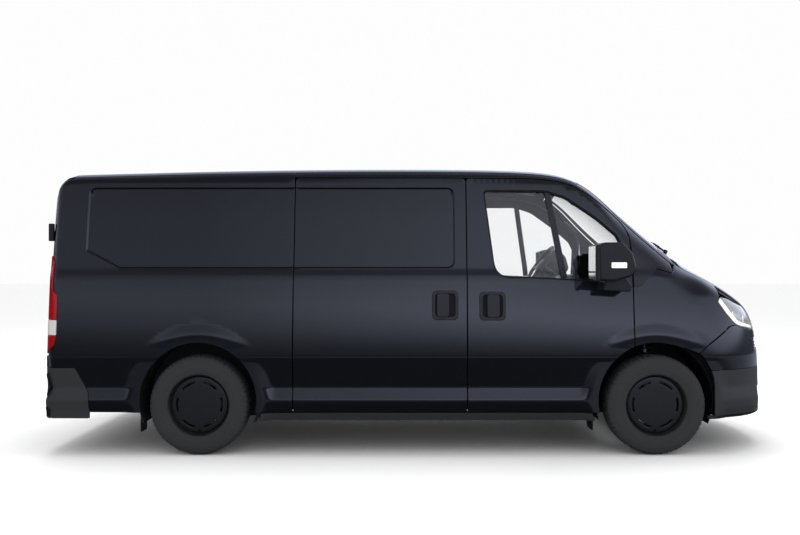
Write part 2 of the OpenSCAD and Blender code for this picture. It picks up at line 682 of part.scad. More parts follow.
module dashboard() {
    x0 = nose_x - 1420;
    color("#2b2d30") translate([0, inner_half - 95, 0]) rotate([90, 0, 0])
        linear_extrude(height = 2 * inner_half - 190)
            polygon([[x0, 880], [x0 + 60, 850], [door_front_x - 86, 760], [door_front_x - 86, 1140],
                [x0 + 200, 1150], [x0 + 80, 1116], [x0, 1050]]);
}

wheel_tilt = 54;                             // steering column against the horizontal plane
steering_x = nose_x - 1485;
steering_z = 1270;
steering_y = 420;
module steering_wheel() {
    color("#222326") translate([steering_x, steering_y, steering_z]) rotate([0, 90 - wheel_tilt, 0])
    rotate([0, 90, 0]) {
        rotate_extrude() translate([178, 0]) circle(r = 14);
        translate([0, 0, 10]) cylinder(r = 62, h = 34, center = true);
        for (a = [0, 120, 240]) rotate([0, 0, a + 90]) translate([40, -14, 4]) cube([130, 28, 10]);
        translate([0, 0, 15]) cylinder(r = 24, h = 140);
    }
}

seat_x = bulkhead_x + 35;
module seat(y, width) {
    translate([seat_x + 60, y - width / 2 + 20, cab_floor_top + seam]) cube([420, width - 40, 255]);
    translate([0, y + width / 2, 0]) rotate([90, 0, 0]) linear_extrude(height = width) {
        polygon([[seat_x + 65, 757], [seat_x + 560, 785], [seat_x + 580, 830], [seat_x + 550, 880],
            [seat_x + 120, 850]]);
        polygon([[seat_x + 65, 770], [seat_x + 190, 790], [seat_x + 125, 1390],
            [seat_x + 90, 1400], [seat_x + 20, 1390], [seat_x + 10, 1350]]);
    }
    translate([seat_x + 15, y - 120, 1395]) cube([85, 240, 190]);
}

module seats() {
    color("#3a3c40") {
        seat(steering_y, 500);
        seat(-70, 440);
        seat(-525, 440);
    }
}

// ---- running gear ------------------------------------------------------------------------------

module engine() {
    color("dimgray") translate([front_axle_x - 120, -300, 430]) cube([430, 640, 430]);
}

strut_y = wheel_y - 175;
king_y = wheel_y - 40;                       // the steering axis
module front_subframe() {
    color("dimgray") {
        translate([front_axle_x - 110, -420, sill_bottom + 15]) cube([220, 840, 60]);
        left_and_right() {
            translate([front_axle_x - 60, -king_y + 148, sill_bottom + 25]) cube([120, king_y - 148 - 380, 40]);
            translate([front_axle_x, -strut_y + 30, 560]) cylinder(r = 55, h = 240);
            translate([front_axle_x - 90, -strut_y - 30, 790]) cube([180, 130, 40]);
        }
    }
}

hub_y = wheel_y - tyre_width / 2 + 55;       // plane of the hub's flange
stub_radius = 35.5;
bolt_circle = 118;
bolt_hole = 7.5;
module knuckle() {
    translate([front_axle_x, -king_y + 90, tyre_radius]) {
        translate([-35, 0, -115]) cube([70, 45, 230]);
        rotate([90, 0, 0]) cylinder(r = stub_radius, h = hub_y - king_y + 90 + 34);
    }
}

module knuckle_right() { color("gray") knuckle(); }
module knuckle_left() { color("gray") mirror([0, 1, 0]) knuckle(); }

module rear_axle() {
    color("dimgray") {
        translate([rear_axle_x, 0, tyre_radius]) rotate([90, 0, 0])
            cylinder(r = 38, h = 2 * (house_y - 50), center = true);
        left_and_right() translate([rear_axle_x, -house_y + 55, tyre_radius]) rotate([90, 0, 0])
            cylinder(r = stub_radius, h = hub_y + 34 - house_y + 55);
    }
}

module rear_springs() {
    color("dimgray") left_and_right() for (i = [0:1])
        translate([rear_axle_x - 560 + 90 * i, -rail_y - 30, tyre_radius - 56 - 11 * i])
            cube([1120 - 180 * i, 60, 10]);
}

module wheel() {
    disc = 12;
    rotate([90, 0, 0]) difference() {
        union() {
            rotate_extrude() polygon([[rim_radius - 12, -tyre_width / 2 + 14],
                [rim_radius + 10, -tyre_width / 2 + 14], [rim_radius + 10, -tyre_width / 2 + 22],
                [rim_radius - 1, -tyre_width / 2 + 26], [rim_radius - 1, tyre_width / 2 - 26],
                [rim_radius + 10, tyre_width / 2 - 22], [rim_radius + 10, tyre_width / 2 - 14],
                [rim_radius - 12, tyre_width / 2 - 14]]);
            rotate_extrude() polygon([[stub_radius + fit, 55 - tyre_width / 2 - 10], [90, 55 - tyre_width / 2 - 10],
                [105, tyre_width / 2 - 45], [rim_radius - 10, tyre_width / 2 - 45],
                [rim_radius - 10, tyre_width / 2 - 45 + disc], [95, tyre_width / 2 - 30],
                [74, tyre_width / 2 - 30], [74, 55 - tyre_width / 2 + 2], [stub_radius + fit, 55 - tyre_width / 2 + 2]]);
        }
        for (i = [0:4]) rotate([0, 0, 72 * i]) translate([bolt_circle / 2, 0, -tyre_width / 2])
            cylinder(r = bolt_hole, h = tyre_width);
    }
}

module wheel_at(x, side) {
    color("#1e1f20") translate([x, side * wheel_y, tyre_radius]) rotate([0, 0, side > 0 ? 180 : 0]) wheel();
}

module tyre_at(x, side) {
    h = tyre_width / 2;
    r = tyre_radius;
    color("#2d2e2f") translate([x, side * wheel_y, tyre_radius]) rotate([90, 0, 0]) rotate_extrude($fn = 96)
        polygon([[rim_radius, -h + 27], [rim_radius + 11, -h + 23], [rim_radius + 11, -h + 12],
            [rim_radius + 45, -h + 2],
            [rim_radius + 65, -h], [r - 40, -h + 3], [r - 12, -h + 14], [r - 3, -h + 30], [r, -h + 60],
            [r, h - 60], [r - 3, h - 30], [r - 12, h - 14], [r - 40, h - 3], [rim_radius + 65, h],
            [rim_radius + 45, h - 2], [rim_radius + 11, h - 12], [rim_radius + 11, h - 23],
            [rim_radius, h - 27]]);
}

module wheel_front_right() { wheel_at(front_axle_x, -1); }
module wheel_front_left() { wheel_at(front_axle_x, 1); }
module wheel_rear_right() { wheel_at(rear_axle_x, -1); }
module wheel_rear_left() { wheel_at(rear_axle_x, 1); }
module tyre_front_right() { tyre_at(front_axle_x, -1); }
module tyre_front_left() { tyre_at(front_axle_x, 1); }
module tyre_rear_right() { tyre_at(rear_axle_x, -1); }
module tyre_rear_left() { tyre_at(rear_axle_x, 1); }

module fuel_tank() {
    color("#1c1d1f") translate([rear_axle_x + 700, -400, sill_bottom + 45]) cube([620, 780, 110]);
}

module exhaust() {
    color("dimgray") {
        translate([rear_axle_x + 1400, -200, sill_bottom + 60]) cube([620, 260, 90]);
        translate([front_axle_x - 480, -70, sill_bottom + 105]) rotate([0, 90, 0]) cylinder(r = 28, h = 200);
    }
}

module mud_flaps() {
    color("#202226") left_and_right() {
        translate([rear_axle_x - arch_radius - 20, -half_width + 112, 139]) cube([12, 130, 212]);
        translate([front_axle_x - arch_radius - 20, -half_width + 130, 146]) cube([12, 170, 126]);
    }
}

floor();
sills();
chassis_rails();
wheelhouses();
side_panel_right();
side_panel_left();
roof();
sliding_door();
bulkhead();
pillars();
windscreen();
cowl();
front_wing_right();
front_wing_left();
nose_panel();
front_bumper();
headlamps();
rear_bumper();
tail_lamps();
dashboard();
steering_wheel();
seats();
engine();
front_subframe();
rear_axle();
rear_springs();
fuel_tank();
exhaust();
mud_flaps();
bonnet();
front_door_right();
door_glass_right();
mirror_right();
front_door_left();
door_glass_left();
mirror_left();
rear_door_right();
rear_door_left();
knuckle_right();
knuckle_left();
wheel_front_right();
tyre_front_right();
wheel_front_left();
tyre_front_left();
wheel_rear_right();
tyre_rear_right();
wheel_rear_left();
tyre_rear_left();
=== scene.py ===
import math

import bmesh
import bpy
import numpy as np
from mathutils import Matrix, Vector
from mathutils.geometry import delaunay_2d_cdt


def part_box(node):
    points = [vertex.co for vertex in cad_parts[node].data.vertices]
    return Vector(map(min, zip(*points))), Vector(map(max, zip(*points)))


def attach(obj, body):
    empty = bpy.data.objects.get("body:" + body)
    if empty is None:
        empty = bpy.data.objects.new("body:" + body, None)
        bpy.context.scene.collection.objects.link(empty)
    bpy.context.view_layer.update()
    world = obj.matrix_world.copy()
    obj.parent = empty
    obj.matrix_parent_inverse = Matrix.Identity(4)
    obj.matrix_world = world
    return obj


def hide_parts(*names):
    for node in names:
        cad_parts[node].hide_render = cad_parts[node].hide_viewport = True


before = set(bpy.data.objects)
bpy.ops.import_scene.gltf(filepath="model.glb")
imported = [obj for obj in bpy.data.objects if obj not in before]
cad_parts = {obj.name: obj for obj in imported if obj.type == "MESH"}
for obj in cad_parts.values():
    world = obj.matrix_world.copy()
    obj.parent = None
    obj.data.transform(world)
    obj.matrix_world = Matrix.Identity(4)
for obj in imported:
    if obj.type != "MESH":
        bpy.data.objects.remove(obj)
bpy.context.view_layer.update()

# Sizes in metres. The frame gives the axles; the rest are the van's own proportions.
tyreLow, tyreHigh = [np.array(c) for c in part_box("tyre_front_right")]
rearTyreLow, rearTyreHigh = [np.array(c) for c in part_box("tyre_rear_right")]
body = {
    "length": 5.05, "halfWidth": 0.988, "roof": 1.9625, "crease": 0.655, "waist": 1.2, "sill": 0.225,
    "noseDepth": 0.56, "tailDepth": 0.1, "gap": 0.006,
    "frontAxle": float(tyreLow[0] + tyreHigh[0]) / 2, "rearAxle": float(rearTyreLow[0] + rearTyreHigh[0]) / 2,
    "tyreRadius": float(tyreHigh[2]) / 2, "wheelY": -float(tyreLow[1] + tyreHigh[1]) / 2,
}
halfWidth, tyreRadius, frontAxle, rearAxle = [body[key] for key in ("halfWidth", "tyreRadius", "frontAxle", "rearAxle")]
noseX = body["length"] / 2
tailX = -noseX
tailFace = tailX + 0.019
archRadius = tyreRadius + 0.056
archZ = tyreRadius + 0.03
doorTop = body["roof"] - 0.101
doorBottom = body["sill"] + 0.06
doorFront = noseX - 1.072
doorRear = doorFront - 1.109
sliderFront = doorRear - body["gap"]
sliderRear = sliderFront - 1.157
screenHead = noseX - 1.398
screenFoot = noseX - 0.745
bonnetRear = noseX - 0.69
noseStart = noseX - body["noseDepth"]
tailStart = tailFace + body["tailDepth"]


def ramp(t, r):
    return (t + np.sqrt(t * t + r * r)) / 2


def softStep(t, r):
    return 1 / (1 + np.exp(-t / r))


def profile(x):
    drop = np.clip((tailFace + 0.15 - x) / 0.15, 0, 1)
    return (0.03 * x - 0.026 * ramp(x - noseX + 3.425, 0.9) - 0.9 * ramp(x - noseX + 1.4, 0.21)
            + 0.345 * ramp(x - noseX + 0.62, 0.09) - 0.9 * ramp(x - noseX + 0.085, 0.05)
            - 0.15 * (1 - np.sqrt(1 - drop * drop)))


def topZ(x):
    return body["roof"] + profile(x) - profile(0.0)


def frontX(z):
    return noseX - 0.0005 - 0.2 * ramp(z - body["crease"] + 0.015, 0.22)


def rearX(z):
    return tailFace + 0.012 * ramp(z - body["crease"] - 0.345, 0.5)


def crown(x):
    return (0.105 + 0.15 * softStep(x - noseX + 1.195, 0.07) - 0.11 * softStep(x - noseX + 0.595, 0.05))


def sideWidth(z):
    c, w = body["crease"], body["waist"]
    return (halfWidth - 0.085 * ramp(z - c, 0.006) - 0.13 * ramp(c - z, 0.006)
            + 0.36 * ramp(c - 0.205 - z, 0.008) - 0.4 * ramp(c - 0.29 - z, 0.008)
            - 0.35 * ramp(c - 0.365 - z, 0.01) - 0.3 * ramp(z - w + 0.01, 0.012)
            + 0.3 * ramp(z - w - 0.045, 0.012) - 0.055 * ramp(z - w - 0.045, 0.06)
            - 0.08 * ramp(z - w - 0.45, 0.09))


def taper(x, z):
    return (0.07 * ramp(x - noseX + 1.025, 0.5) + 0.012 * ramp(tailX + 1.025 - x, 0.3)
            + 0.1 * ramp(z - 1, 0.2) * ramp(x - noseX + 1.625, 0.7))


def flare(x, z):
    # How far the skin stands out over the wheels.
    out = 0
    for axle in (frontAxle, rearAxle):
        rho = np.sqrt((x - axle) ** 2 + (z - archZ) ** 2)
        t = np.clip((rho - archRadius - 0.03) / 0.1, 0, 1)
        out = np.maximum(out, 1 - t * t * (3 - 2 * t))
    return out


def straightWidth(x, z):
    base = sideWidth(z) - taper(x, z)
    lip = halfWidth - 0.004 - taper(x, z) - 0.02 * ramp(z - body["crease"], 0.02)
    return base + (np.maximum(lip, base) - base) * flare(x, z)


def rounding(t, q):
    c = 1 - np.clip(t, 0, 1)
    return (1 - c * c) ** (1 / q)


def steepness(x):
    s = (topZ(x + 0.001) - topZ(x - 0.001)) / 0.002
    return np.sqrt(1 + s * s)


def endRounding(x, z):
    return rounding((frontX(z) - x) / body["noseDepth"], 2.9) * rounding((x - rearX(z)) / body["tailDepth"], 8)


def halfY(x, z):
    return straightWidth(x, z) * rounding((topZ(x) - z) / steepness(x) / crown(x), 4) * endRounding(x, z)


def topDrop(x, u):
    return crown(x) * steepness(x) * (1 - np.sqrt(1 - np.minimum(np.abs(u), 1) ** 4))


# Walks over the right side: s in metres along it, then by angle around the nose and the tail.
noseTurn, tailTurn = 150.0, 600.0  # degrees per metre of s
noseEnd = noseStart + 90 / noseTurn
tailEnd = tailStart - 90 / tailTurn


def sidePoint(s, z):
    s, z = np.broadcast_arrays(np.asarray(s, float), np.asarray(z, float))
    aNose = np.radians(90 - noseTurn * (s - noseStart))
    aTail = np.radians(90 - tailTurn * (tailStart - s))
    x = np.where(s > noseStart, noseStart + (frontX(z) - noseStart) * np.cos(aNose),
                 np.where(s < tailStart, tailStart + (rearX(z) - tailStart) * np.cos(aTail), s))
    sign = np.where(s > noseEnd, -1, np.where(s < tailEnd, -1, 1))
    return np.stack([x, -sign * halfY(x, z), z], -1)


def nosePoint(t, z):
    # t runs from the right (negative) over the middle of the nose to the left.
    t, z = np.broadcast_arrays(np.asarray(t, float), np.asarray(z, float))
    p = sidePoint(noseEnd - np.abs(t), z)
    p[..., 1] *= np.where(t > 0, -1, 1)
    return p


def tailPoint(y, z):
    # The rear face by its own y and z.
    y, z = np.broadcast_arrays(np.asarray(y, float), np.asarray(z, float))
    x = rearX(z)
    for _ in range(5):
        wide = straightWidth(x, z) * rounding((topZ(x) - z) / steepness(x) / crown(x), 4)
        u = np.minimum(np.abs(y) / np.maximum(wide, 0.05), 0.9999)
        x = 0.4 * x + 0.6 * (rearX(z) + body["tailDepth"] * (1 - np.sqrt(1 - u ** 8)))
    return np.stack([x, y, z], -1)


def topPoint(x, y):
    # The roof, the windscreen and the bonnet by their x and y.
    x, y = np.broadcast_arrays(np.asarray(x, float), np.asarray(y, float))
    z = topZ(x) - 0.01
    for _ in range(7):
        wide = straightWidth(x, z) * endRounding(x, z)
        u = np.minimum(np.abs(y) / np.maximum(wide, 0.05), 0.9995)
        z = topZ(x) - topDrop(x, u)
    return np.stack([x, y, z], -1)


# Small helpers for outlines

def resample(points, step):
    out = []
    n = len(points)
    for i in range(n):
        a, b = np.array(points[i], float), np.array(points[(i + 1) % n], float)
        count = max(1, int(math.ceil(np.linalg.norm(b - a) / step)))
        out += [a + (b - a) * k / count for k in range(count)]
    return np.array(out)


def rounded(points, radius, steps=5):
    # Rounds the corners of a closed outline. radius is one number or one for each corner.
    pts = [np.array(p, float) for p in points]
    n = len(pts)
    radii = radius if isinstance(radius, (list, tuple)) else [radius] * n
    out = []
    for i in range(n):
        a, b, c = pts[i - 1], pts[i], pts[(i + 1) % n]
        u, v = a - b, c - b
        lu, lv = np.linalg.norm(u), np.linalg.norm(v)
        u, v = u / lu, v / lv
        half = math.acos(float(np.clip(np.dot(u, v), -1, 1))) / 2
        cut = min(radii[i] / math.tan(half), lu * 0.48, lv * 0.48) if half < 1.55 else 0
        if radii[i] <= 0 or cut < 1e-5:
            out.append(b)
            continue
        for k in range(steps + 1):
            f = k / steps
            out.append((1 - f) ** 2 * (b + u * cut) + 2 * f * (1 - f) * b + f * f * (b + v * cut))
    return np.array(out)


def offsetLoop(loop, distance):
    # Moves a closed outline inwards.
    area = 0.5 * np.sum(loop[:, 0] * np.roll(loop[:, 1], -1) - np.roll(loop[:, 0], -1) * loop[:, 1])
    a = loop - np.roll(loop, 1, 0)
    b = np.roll(loop, -1, 0) - loop
    a /= np.maximum(np.linalg.norm(a, axis=1, keepdims=True), 1e-9)
    b /= np.maximum(np.linalg.norm(b, axis=1, keepdims=True), 1e-9)
    na, nb = np.stack([-a[:, 1], a[:, 0]], 1), np.stack([-b[:, 1], b[:, 0]], 1)
    m = na + nb
    m /= np.maximum(np.sum(m * na, 1, keepdims=True), 0.3)
    return loop + m * distance * (1 if area > 0 else -1)


def inside(points, loop):
    x, y = points[:, 0][:, None], points[:, 1][:, None]
    x0, y0 = loop[:, 0][None], loop[:, 1][None]
    x1, y1 = np.roll(loop[:, 0], -1)[None], np.roll(loop[:, 1], -1)[None]
    cross = (y0 > y) != (y1 > y)
    with np.errstate(divide="ignore", invalid="ignore"):
        hit = cross & (x < (x1 - x0) * (y - y0) / (y1 - y0) + x0)
    return (hit.sum(1) % 2) == 1


def edgeDistance(points, loop):
    a, b = loop[None], np.roll(loop, -1, 0)[None]
    p = points[:, None]
    t = np.clip(np.sum((p - a) * (b - a), 2) / np.maximum(np.sum((b - a) ** 2, 2), 1e-12), 0, 1)
    return np.min(np.linalg.norm(p - a - t[..., None] * (b - a), axis=2), 1)


def meshObject(name, verts, faces, material, normals=None, smooth=True):
    mesh = bpy.data.meshes.new(name)
    mesh.from_pydata([tuple(map(float, v)) for v in verts], [], [tuple(map(int, f)) for f in faces])
    mesh.validate()
    for p in mesh.polygons:
        p.use_smooth = smooth
    if normals is not None:
        mesh.normals_split_custom_set_from_vertices([tuple(map(float, n)) for n in normals])
    if material is not None:
        for m in material if isinstance(material, (list, tuple)) else [material]:
            mesh.materials.append(m)
    obj = bpy.data.objects.new(name, mesh)
    bpy.context.scene.collection.objects.link(obj)
    return obj


def skinNormals(point, a, b, turn):
    e = 0.0008
    pu = point(a + e, b) - point(a - e, b)
    pv = point(a, b + e) - point(a, b - e)
    n = np.cross(pu, pv) * turn
    n /= np.maximum(np.linalg.norm(n, axis=-1, keepdims=True), 1e-12)
    return n


def panel(name, point, outline, material, holes=(), cols=0.04, rows=0.04, fineCols=(), fineRows=(),
          thick=0.02, radius=0.0025, turn=1, press=None, flip=False, sunk=0.0, step=0.012, edges=True):
    # A panel of the skin: outline and holes in the skin's own two coordinates.
    def place(a, b):
        p = point(a, b)
        depth = sunk + (press(a, b) if press else 0)
        return p - skinNormals(point, a, b, turn) * np.broadcast_to(depth, a.shape)[..., None]

    loops = [offsetLoop(resample(outline, step), radius)] + [
        offsetLoop(resample(h, step), -radius) for h in holes]
    lo, hi = loops[0].min(0), loops[0].max(0)

    def lines(low, high, base, fine):
        out = list(np.arange(low, high, base))
        for centre, width, small in fine:
            out += list(np.arange(max(low, centre - width), min(high, centre + width), small))
        out = sorted(out)
        kept = [out[0]] if out else []
        for v in out[1:]:
            if v - kept[-1] > 0.0025:
                kept.append(v)
        return np.array(kept)

    gu, gv = np.meshgrid(lines(lo[0] + 0.004, hi[0], cols, fineCols), lines(lo[1] + 0.004, hi[1], rows, fineRows))
    grid = np.stack([gu.ravel(), gv.ravel()], 1)
    keep = inside(grid, loops[0])
    grid = grid[keep]
    for h in loops[1:]:
        grid = grid[~inside(grid, h)]
    for h in loops:
        grid = grid[edgeDistance(grid, h) > 0.005]
    pts, segs = [], []
    for h in loops:
        base = len(pts)
        pts += [tuple(p) for p in h]
        segs += [(base + i, base + (i + 1) % len(h)) for i in range(len(h))]
    pts += [tuple(p) for p in grid]
    out = delaunay_2d_cdt([Vector(p) for p in pts], segs, [], 0, 1e-7, True)
    flat = np.array([tuple(v) for v in out[0]])
    tris = np.array([f for f in out[2] if len(f) == 3])
    centre = flat[tris].mean(1)
    ok = inside(centre, loops[0])
    for h in loops[1:]:
        ok &= ~inside(centre, h)
    tris = tris[ok]
    origin = {}
    for new, olds in enumerate(out[3]):
        for o in olds:
            origin[o] = new
    a, b = flat[:, 0], flat[:, 1]
    P = place(a, b)
    N = skinNormals(place, a, b, turn)
    # Which way the triangles face
    t0 = tris[len(tris) // 2]
    faceN = np.cross(P[t0[1]] - P[t0[0]], P[t0[2]] - P[t0[0]])
    if np.dot(faceN, N[t0[0]]) < 0:
        tris = tris[:, ::-1]
    verts, norms, faces = [P], [N], [list(t) for t in tris]
    count = len(P)
    if edges:
        back = P - N * thick
        backN = -N
        backBase = count
        verts.append(back)
        norms.append(backN)
        faces += [[backBase + t[0], backBase + t[2], backBase + t[1]] for t in tris]
        count += len(P)
        base = 0
        for h in loops:
            ids = np.array([origin[base + i] for i in range(len(h))])
            base += len(h)
            p, n = P[ids], N[ids]
            t = np.roll(p, -1, 0) - np.roll(p, 1, 0)
            t /= np.maximum(np.linalg.norm(t, axis=1, keepdims=True), 1e-9)
            outward = np.cross(t, n)
            outward /= np.maximum(np.linalg.norm(outward, axis=1, keepdims=True), 1e-9)
            probe = flat[ids[0]]
            trial = place(np.array([probe[0] + 1e-4]), np.array([probe[1]]))[0] - p[0]
            trial2 = place(np.array([probe[0]]), np.array([probe[1] + 1e-4]))[0] - p[0]
            o2 = np.array([np.dot(outward[0], trial), np.dot(outward[0], trial2)])
            test = probe + o2 / max(np.linalg.norm(o2), 1e-12) * 0.0006
            isIn = bool(inside(np.array([test]), loops[0])[0]) and not any(
                bool(inside(np.array([test]), k)[0]) for k in loops[1:])
            if isIn:
                outward = -outward
            rings = [(0.0, 0.0, 0.0)]
            for ang in (30, 60, 90):
                r = math.radians(ang)
                rings.append((radius * math.sin(r), radius * (1 - math.cos(r)), r))
            rings.append((radius, thick, math.pi / 2))
            prev = None
            for off, deep, ang in rings:
                ring = p + outward * off - n * deep
                verts.append(ring)
                norms.append(n * math.cos(ang) + outward * math.sin(ang))
                cur = count + np.arange(len(ids))
                count += len(ids)
                if prev is not None:
                    for i in range(len(ids)):
                        j = (i + 1) % len(ids)
                        faces.append([prev[i], prev[j], cur[j], cur[i]])
                prev = cur
            # Closes the back out to the flange.
            verts.append(p + outward * radius - n * thick)
            norms.append(-n)
            cur = count + np.arange(len(ids))
            count += len(ids)
            for i in range(len(ids)):
                j = (i + 1) % len(ids)
                faces.append([cur[i], cur[j], backBase + ids[j], backBase + ids[i]])
    V, M = np.concatenate(verts), np.concatenate(norms)
    faces = fixWinding(V, M, faces)
    if flip:
        V, M = V * [1, -1, 1], M * [1, -1, 1]
        faces = [f[::-1] for f in faces]
    return meshObject(name, V, faces, material, M)


def fixWinding(V, M, faces):
    out = []
    for f in faces:
        a, b, c = V[f[0]], V[f[1]], V[f[2]]
        n = np.cross(b - a, c - a)
        if len(f) == 4:
            n = n + np.cross(c - a, V[f[3]] - a)
        out.append(f if np.dot(n, M[f].sum(0)) >= 0 else f[::-1])
    return out


# Materials

def toLinear(hexColour):
    out = []
    for i in (0, 2, 4):
        c = int(hexColour[i:i + 2], 16) / 255
        out.append(c / 12.92 if c <= 0.04045 else ((c + 0.055) / 1.055) ** 2.4)
    return (*out, 1.0)


# Adds a node to a material or a world, sets its inputs and properties, and links other sockets into it
def addNode(owner, kind, links=None, **settings):
    tree = owner.node_tree
    node = tree.nodes.new(kind)
    for key, value in settings.items():
        if hasattr(node, key):
            setattr(node, key, value)
        else:
            node.inputs[key.replace("_", " ")].default_value = value
    for socket, source in (links or {}).items():
        tree.links.new(source, node.inputs[socket])
    return node


def newMaterial(name, colour, roughness, metallic=0.0, ior=1.5, **more):
    m = bpy.data.materials.new(name)
    m.use_nodes = True
    shader = m.node_tree.nodes["Principled BSDF"]
    shader.inputs["Base Color"].default_value = toLinear(colour)
    shader.inputs["Roughness"].default_value = roughness
    shader.inputs["Metallic"].default_value = metallic
    shader.inputs["IOR"].default_value = ior
    for key, value in more.items():
        shader.inputs[key.replace("_", " ")].default_value = value
    return m


def grain(material, millimetres, strength, detail=3.0):
    # A bump of small grain, sized by its real spacing.
    shader = material.node_tree.nodes["Principled BSDF"]
    where = addNode(material, "ShaderNodeTexCoord")
    noise = addNode(material, "ShaderNodeTexNoise", {"Vector": where.outputs["Object"]},
                    Scale=1000 / millimetres / 2, Detail=detail)
    bump = addNode(material, "ShaderNodeBump", {"Height": noise.outputs[0]}, Strength=strength, Distance=0.0006)
    material.node_tree.links.new(bump.outputs[0], shader.inputs["Normal"])
    return material


# Sprayed acrylic enamel under clear lacquer: near black with a blue cast, mirror gloss.
blackEnamel = newMaterial("gloss_black_enamel", "0d0e14", 0.4, ior=1.5, Coat_Weight=1.0, Coat_Roughness=0.045,
                          Coat_IOR=1.5,
                          Specular_IOR_Level=0.12)
# Moulded polypropylene with a fine leather grain: dull dark grey.
grainedPolypropylene = grain(newMaterial("grained_polypropylene", "2a2c2e", 0.55), 1.6, 0.25)
# Smooth moulded ABS: black with a soft sheen.
smoothAbs = newMaterial("smooth_black_abs", "17181a", 0.35)
# Extruded EPDM rubber: flat black. The same black stands as painted shade for the sliding door's rail slot.
blackRubberAndSlotShade = newMaterial("extruded_epdm_and_slot_shade", "0c0c0d", 0.75)
# Vulcanised tyre rubber with carbon black: flat, a little dusty.
tyreRubber = grain(newMaterial("vulcanised_tyre_rubber", "2c2d2e", 0.78), 2.5, 0.2)
# Pressed steel with satin black wheel enamel.
wheelEnamel = newMaterial("satin_black_wheel_enamel", "1c1d1e", 0.42)
# Matt cavity primer on pressed steel.
cavityPrimer = newMaterial("matt_cavity_primer", "1a1b1d", 0.7)
# Tempered float glass, clear with a faint green cast.
floatGlass = newMaterial("tempered_float_glass", "fdfefe", 0.01, ior=1.5, Transmission_Weight=1.0)
# Fired ceramic frit around a bonded screen: deep matt black.
ceramicFrit = newMaterial("ceramic_frit", "08080a", 0.25)
# Clear moulded polycarbonate over a lamp.
lampLens = newMaterial("clear_polycarbonate", "ffffff", 0.03, ior=1.585, Transmission_Weight=1.0)
# Red moulded acrylic of a tail lamp.
redAcrylic = newMaterial("red_acrylic", "a81016", 0.08, ior=1.49, Transmission_Weight=0.35)
# Clear moulded acrylic of the reversing lamp: milky white with a sharp glint.
clearAcrylic = newMaterial("clear_acrylic", "e8e4e2", 0.1, ior=1.49, Transmission_Weight=0.3)
# Opal polycarbonate light guide: bright white even when it is off, by a painted glow from its emission.
opalGuidePaintedGlow = newMaterial("opal_light_guide_painted_glow", "ffffff", 0.3, Emission_Color=(1, 1, 1, 1), Emission_Strength=0.9)
# Vacuum metallised reflector.
metallisedReflector = newMaterial("metallised_reflector", "d8d9db", 0.12, metallic=1.0)
# Zinc plated and bare steel under the body.
platedSteel = newMaterial("zinc_plated_steel", "8a8b8c", 0.35, metallic=1.0)
# Rough sand-cast iron of knuckles and hubs: dark, pitted, no sparkle.
castIron = grain(newMaterial("sand_cast_iron", "4a4a4b", 0.6, metallic=0.6), 3.0, 0.4)
# Hot-dip aluminised sheet of the silencer and the tank straps: dull silver.
aluminisedSteel = newMaterial("aluminised_steel", "77787a", 0.4, metallic=1.0)
# Woven polyester seat cloth and its knitted centre.
seatCloth = grain(newMaterial("woven_polyester", "2b2d31", 0.85, Sheen_Weight=0.25), 1.2, 0.5)
# Needled felt on the cab floor: soft, flat dark grey.
cabFelt = newMaterial("needle_felt", "3a3b3d", 0.95)
# Knitted cloth on moulded board over the cab: pale and matt.
paleLining = newMaterial("knitted_headlining", "b9b8b4", 0.9)
# Film-faced plywood on the load floor: brown with a low sheen.
cargoPly = newMaterial("phenolic_faced_plywood", "5a4a3c", 0.6)
# Satin silver paint inside a lamp housing.
satinSilver = newMaterial("satin_silver_housing", "c9cbcf", 0.3, metallic=0.4)
# Blank retroreflective plate sheeting.
blankPlate = newMaterial("blank_plate_sheeting", "e9e9e6", 0.4)
# Opal lens of the side repeater: an even white, from a painted glow of its emission.
whiteLensPaintedGlow = newMaterial("white_opal_lens_painted_glow", "f4f4f2", 0.2, Emission_Color=(1, 1, 1, 1), Emission_Strength=0.35)


# Simple solids

def mirrorY(obj, name):
    mesh = obj.data.copy()
    mesh.transform(Matrix.Diagonal((1, -1, 1, 1)))
    mesh.flip_normals()
    twin = bpy.data.objects.new(name, mesh)
    bpy.context.scene.collection.objects.link(twin)
    return twin


def block(name, low, high, material, bevel=0.004, segments=2):
    low, high = np.minimum(low, high), np.maximum(low, high)
    v = [(low[0] if i & 1 == 0 else high[0], low[1] if i & 2 == 0 else high[1], low[2] if i & 4 == 0 else high[2])
         for i in range(8)]
    f = [(0, 2, 3, 1), (4, 5, 7, 6), (0, 1, 5, 4), (2, 6, 7, 3), (0, 4, 6, 2), (1, 3, 7, 5)]
    obj = meshObject(name, v, f, material, smooth=False)
    soften(obj, min(bevel, 0.45 * float(min(high - low))), segments)
    return obj


def soften(obj, width, segments=2, angle=0.6):
    if width <= 0:
        return
    bm = bmesh.new()
    bm.from_mesh(obj.data)
    edges = [e for e in bm.edges if len(e.link_faces) == 2 and e.calc_face_angle(0) > angle]
    bmesh.ops.bevel(bm, geom=edges, offset=width, segments=segments, profile=0.5, affect="EDGES", clamp_overlap=True)
    for f in bm.faces:
        f.smooth = True
    bm.to_mesh(obj.data)
    bm.free()
    weigh(obj)


def weigh(obj, angle=35):
    # Smooth shading that keeps flat faces flat.
    mesh = obj.data
    n = np.zeros((len(mesh.vertices), 3))
    for p in mesh.polygons:
        p.use_smooth = True
        for v in p.vertices:
            n[v] += np.array(p.normal) * p.area
    sharp = math.cos(math.radians(angle))
    loops = []
    for p in mesh.polygons:
        pn = np.array(p.normal)
        for v in p.vertices:
            q = n[v] / max(np.linalg.norm(n[v]), 1e-12)
            loops.append(tuple(q if np.dot(q, pn) > sharp else pn))
    mesh.normals_split_custom_set(loops)


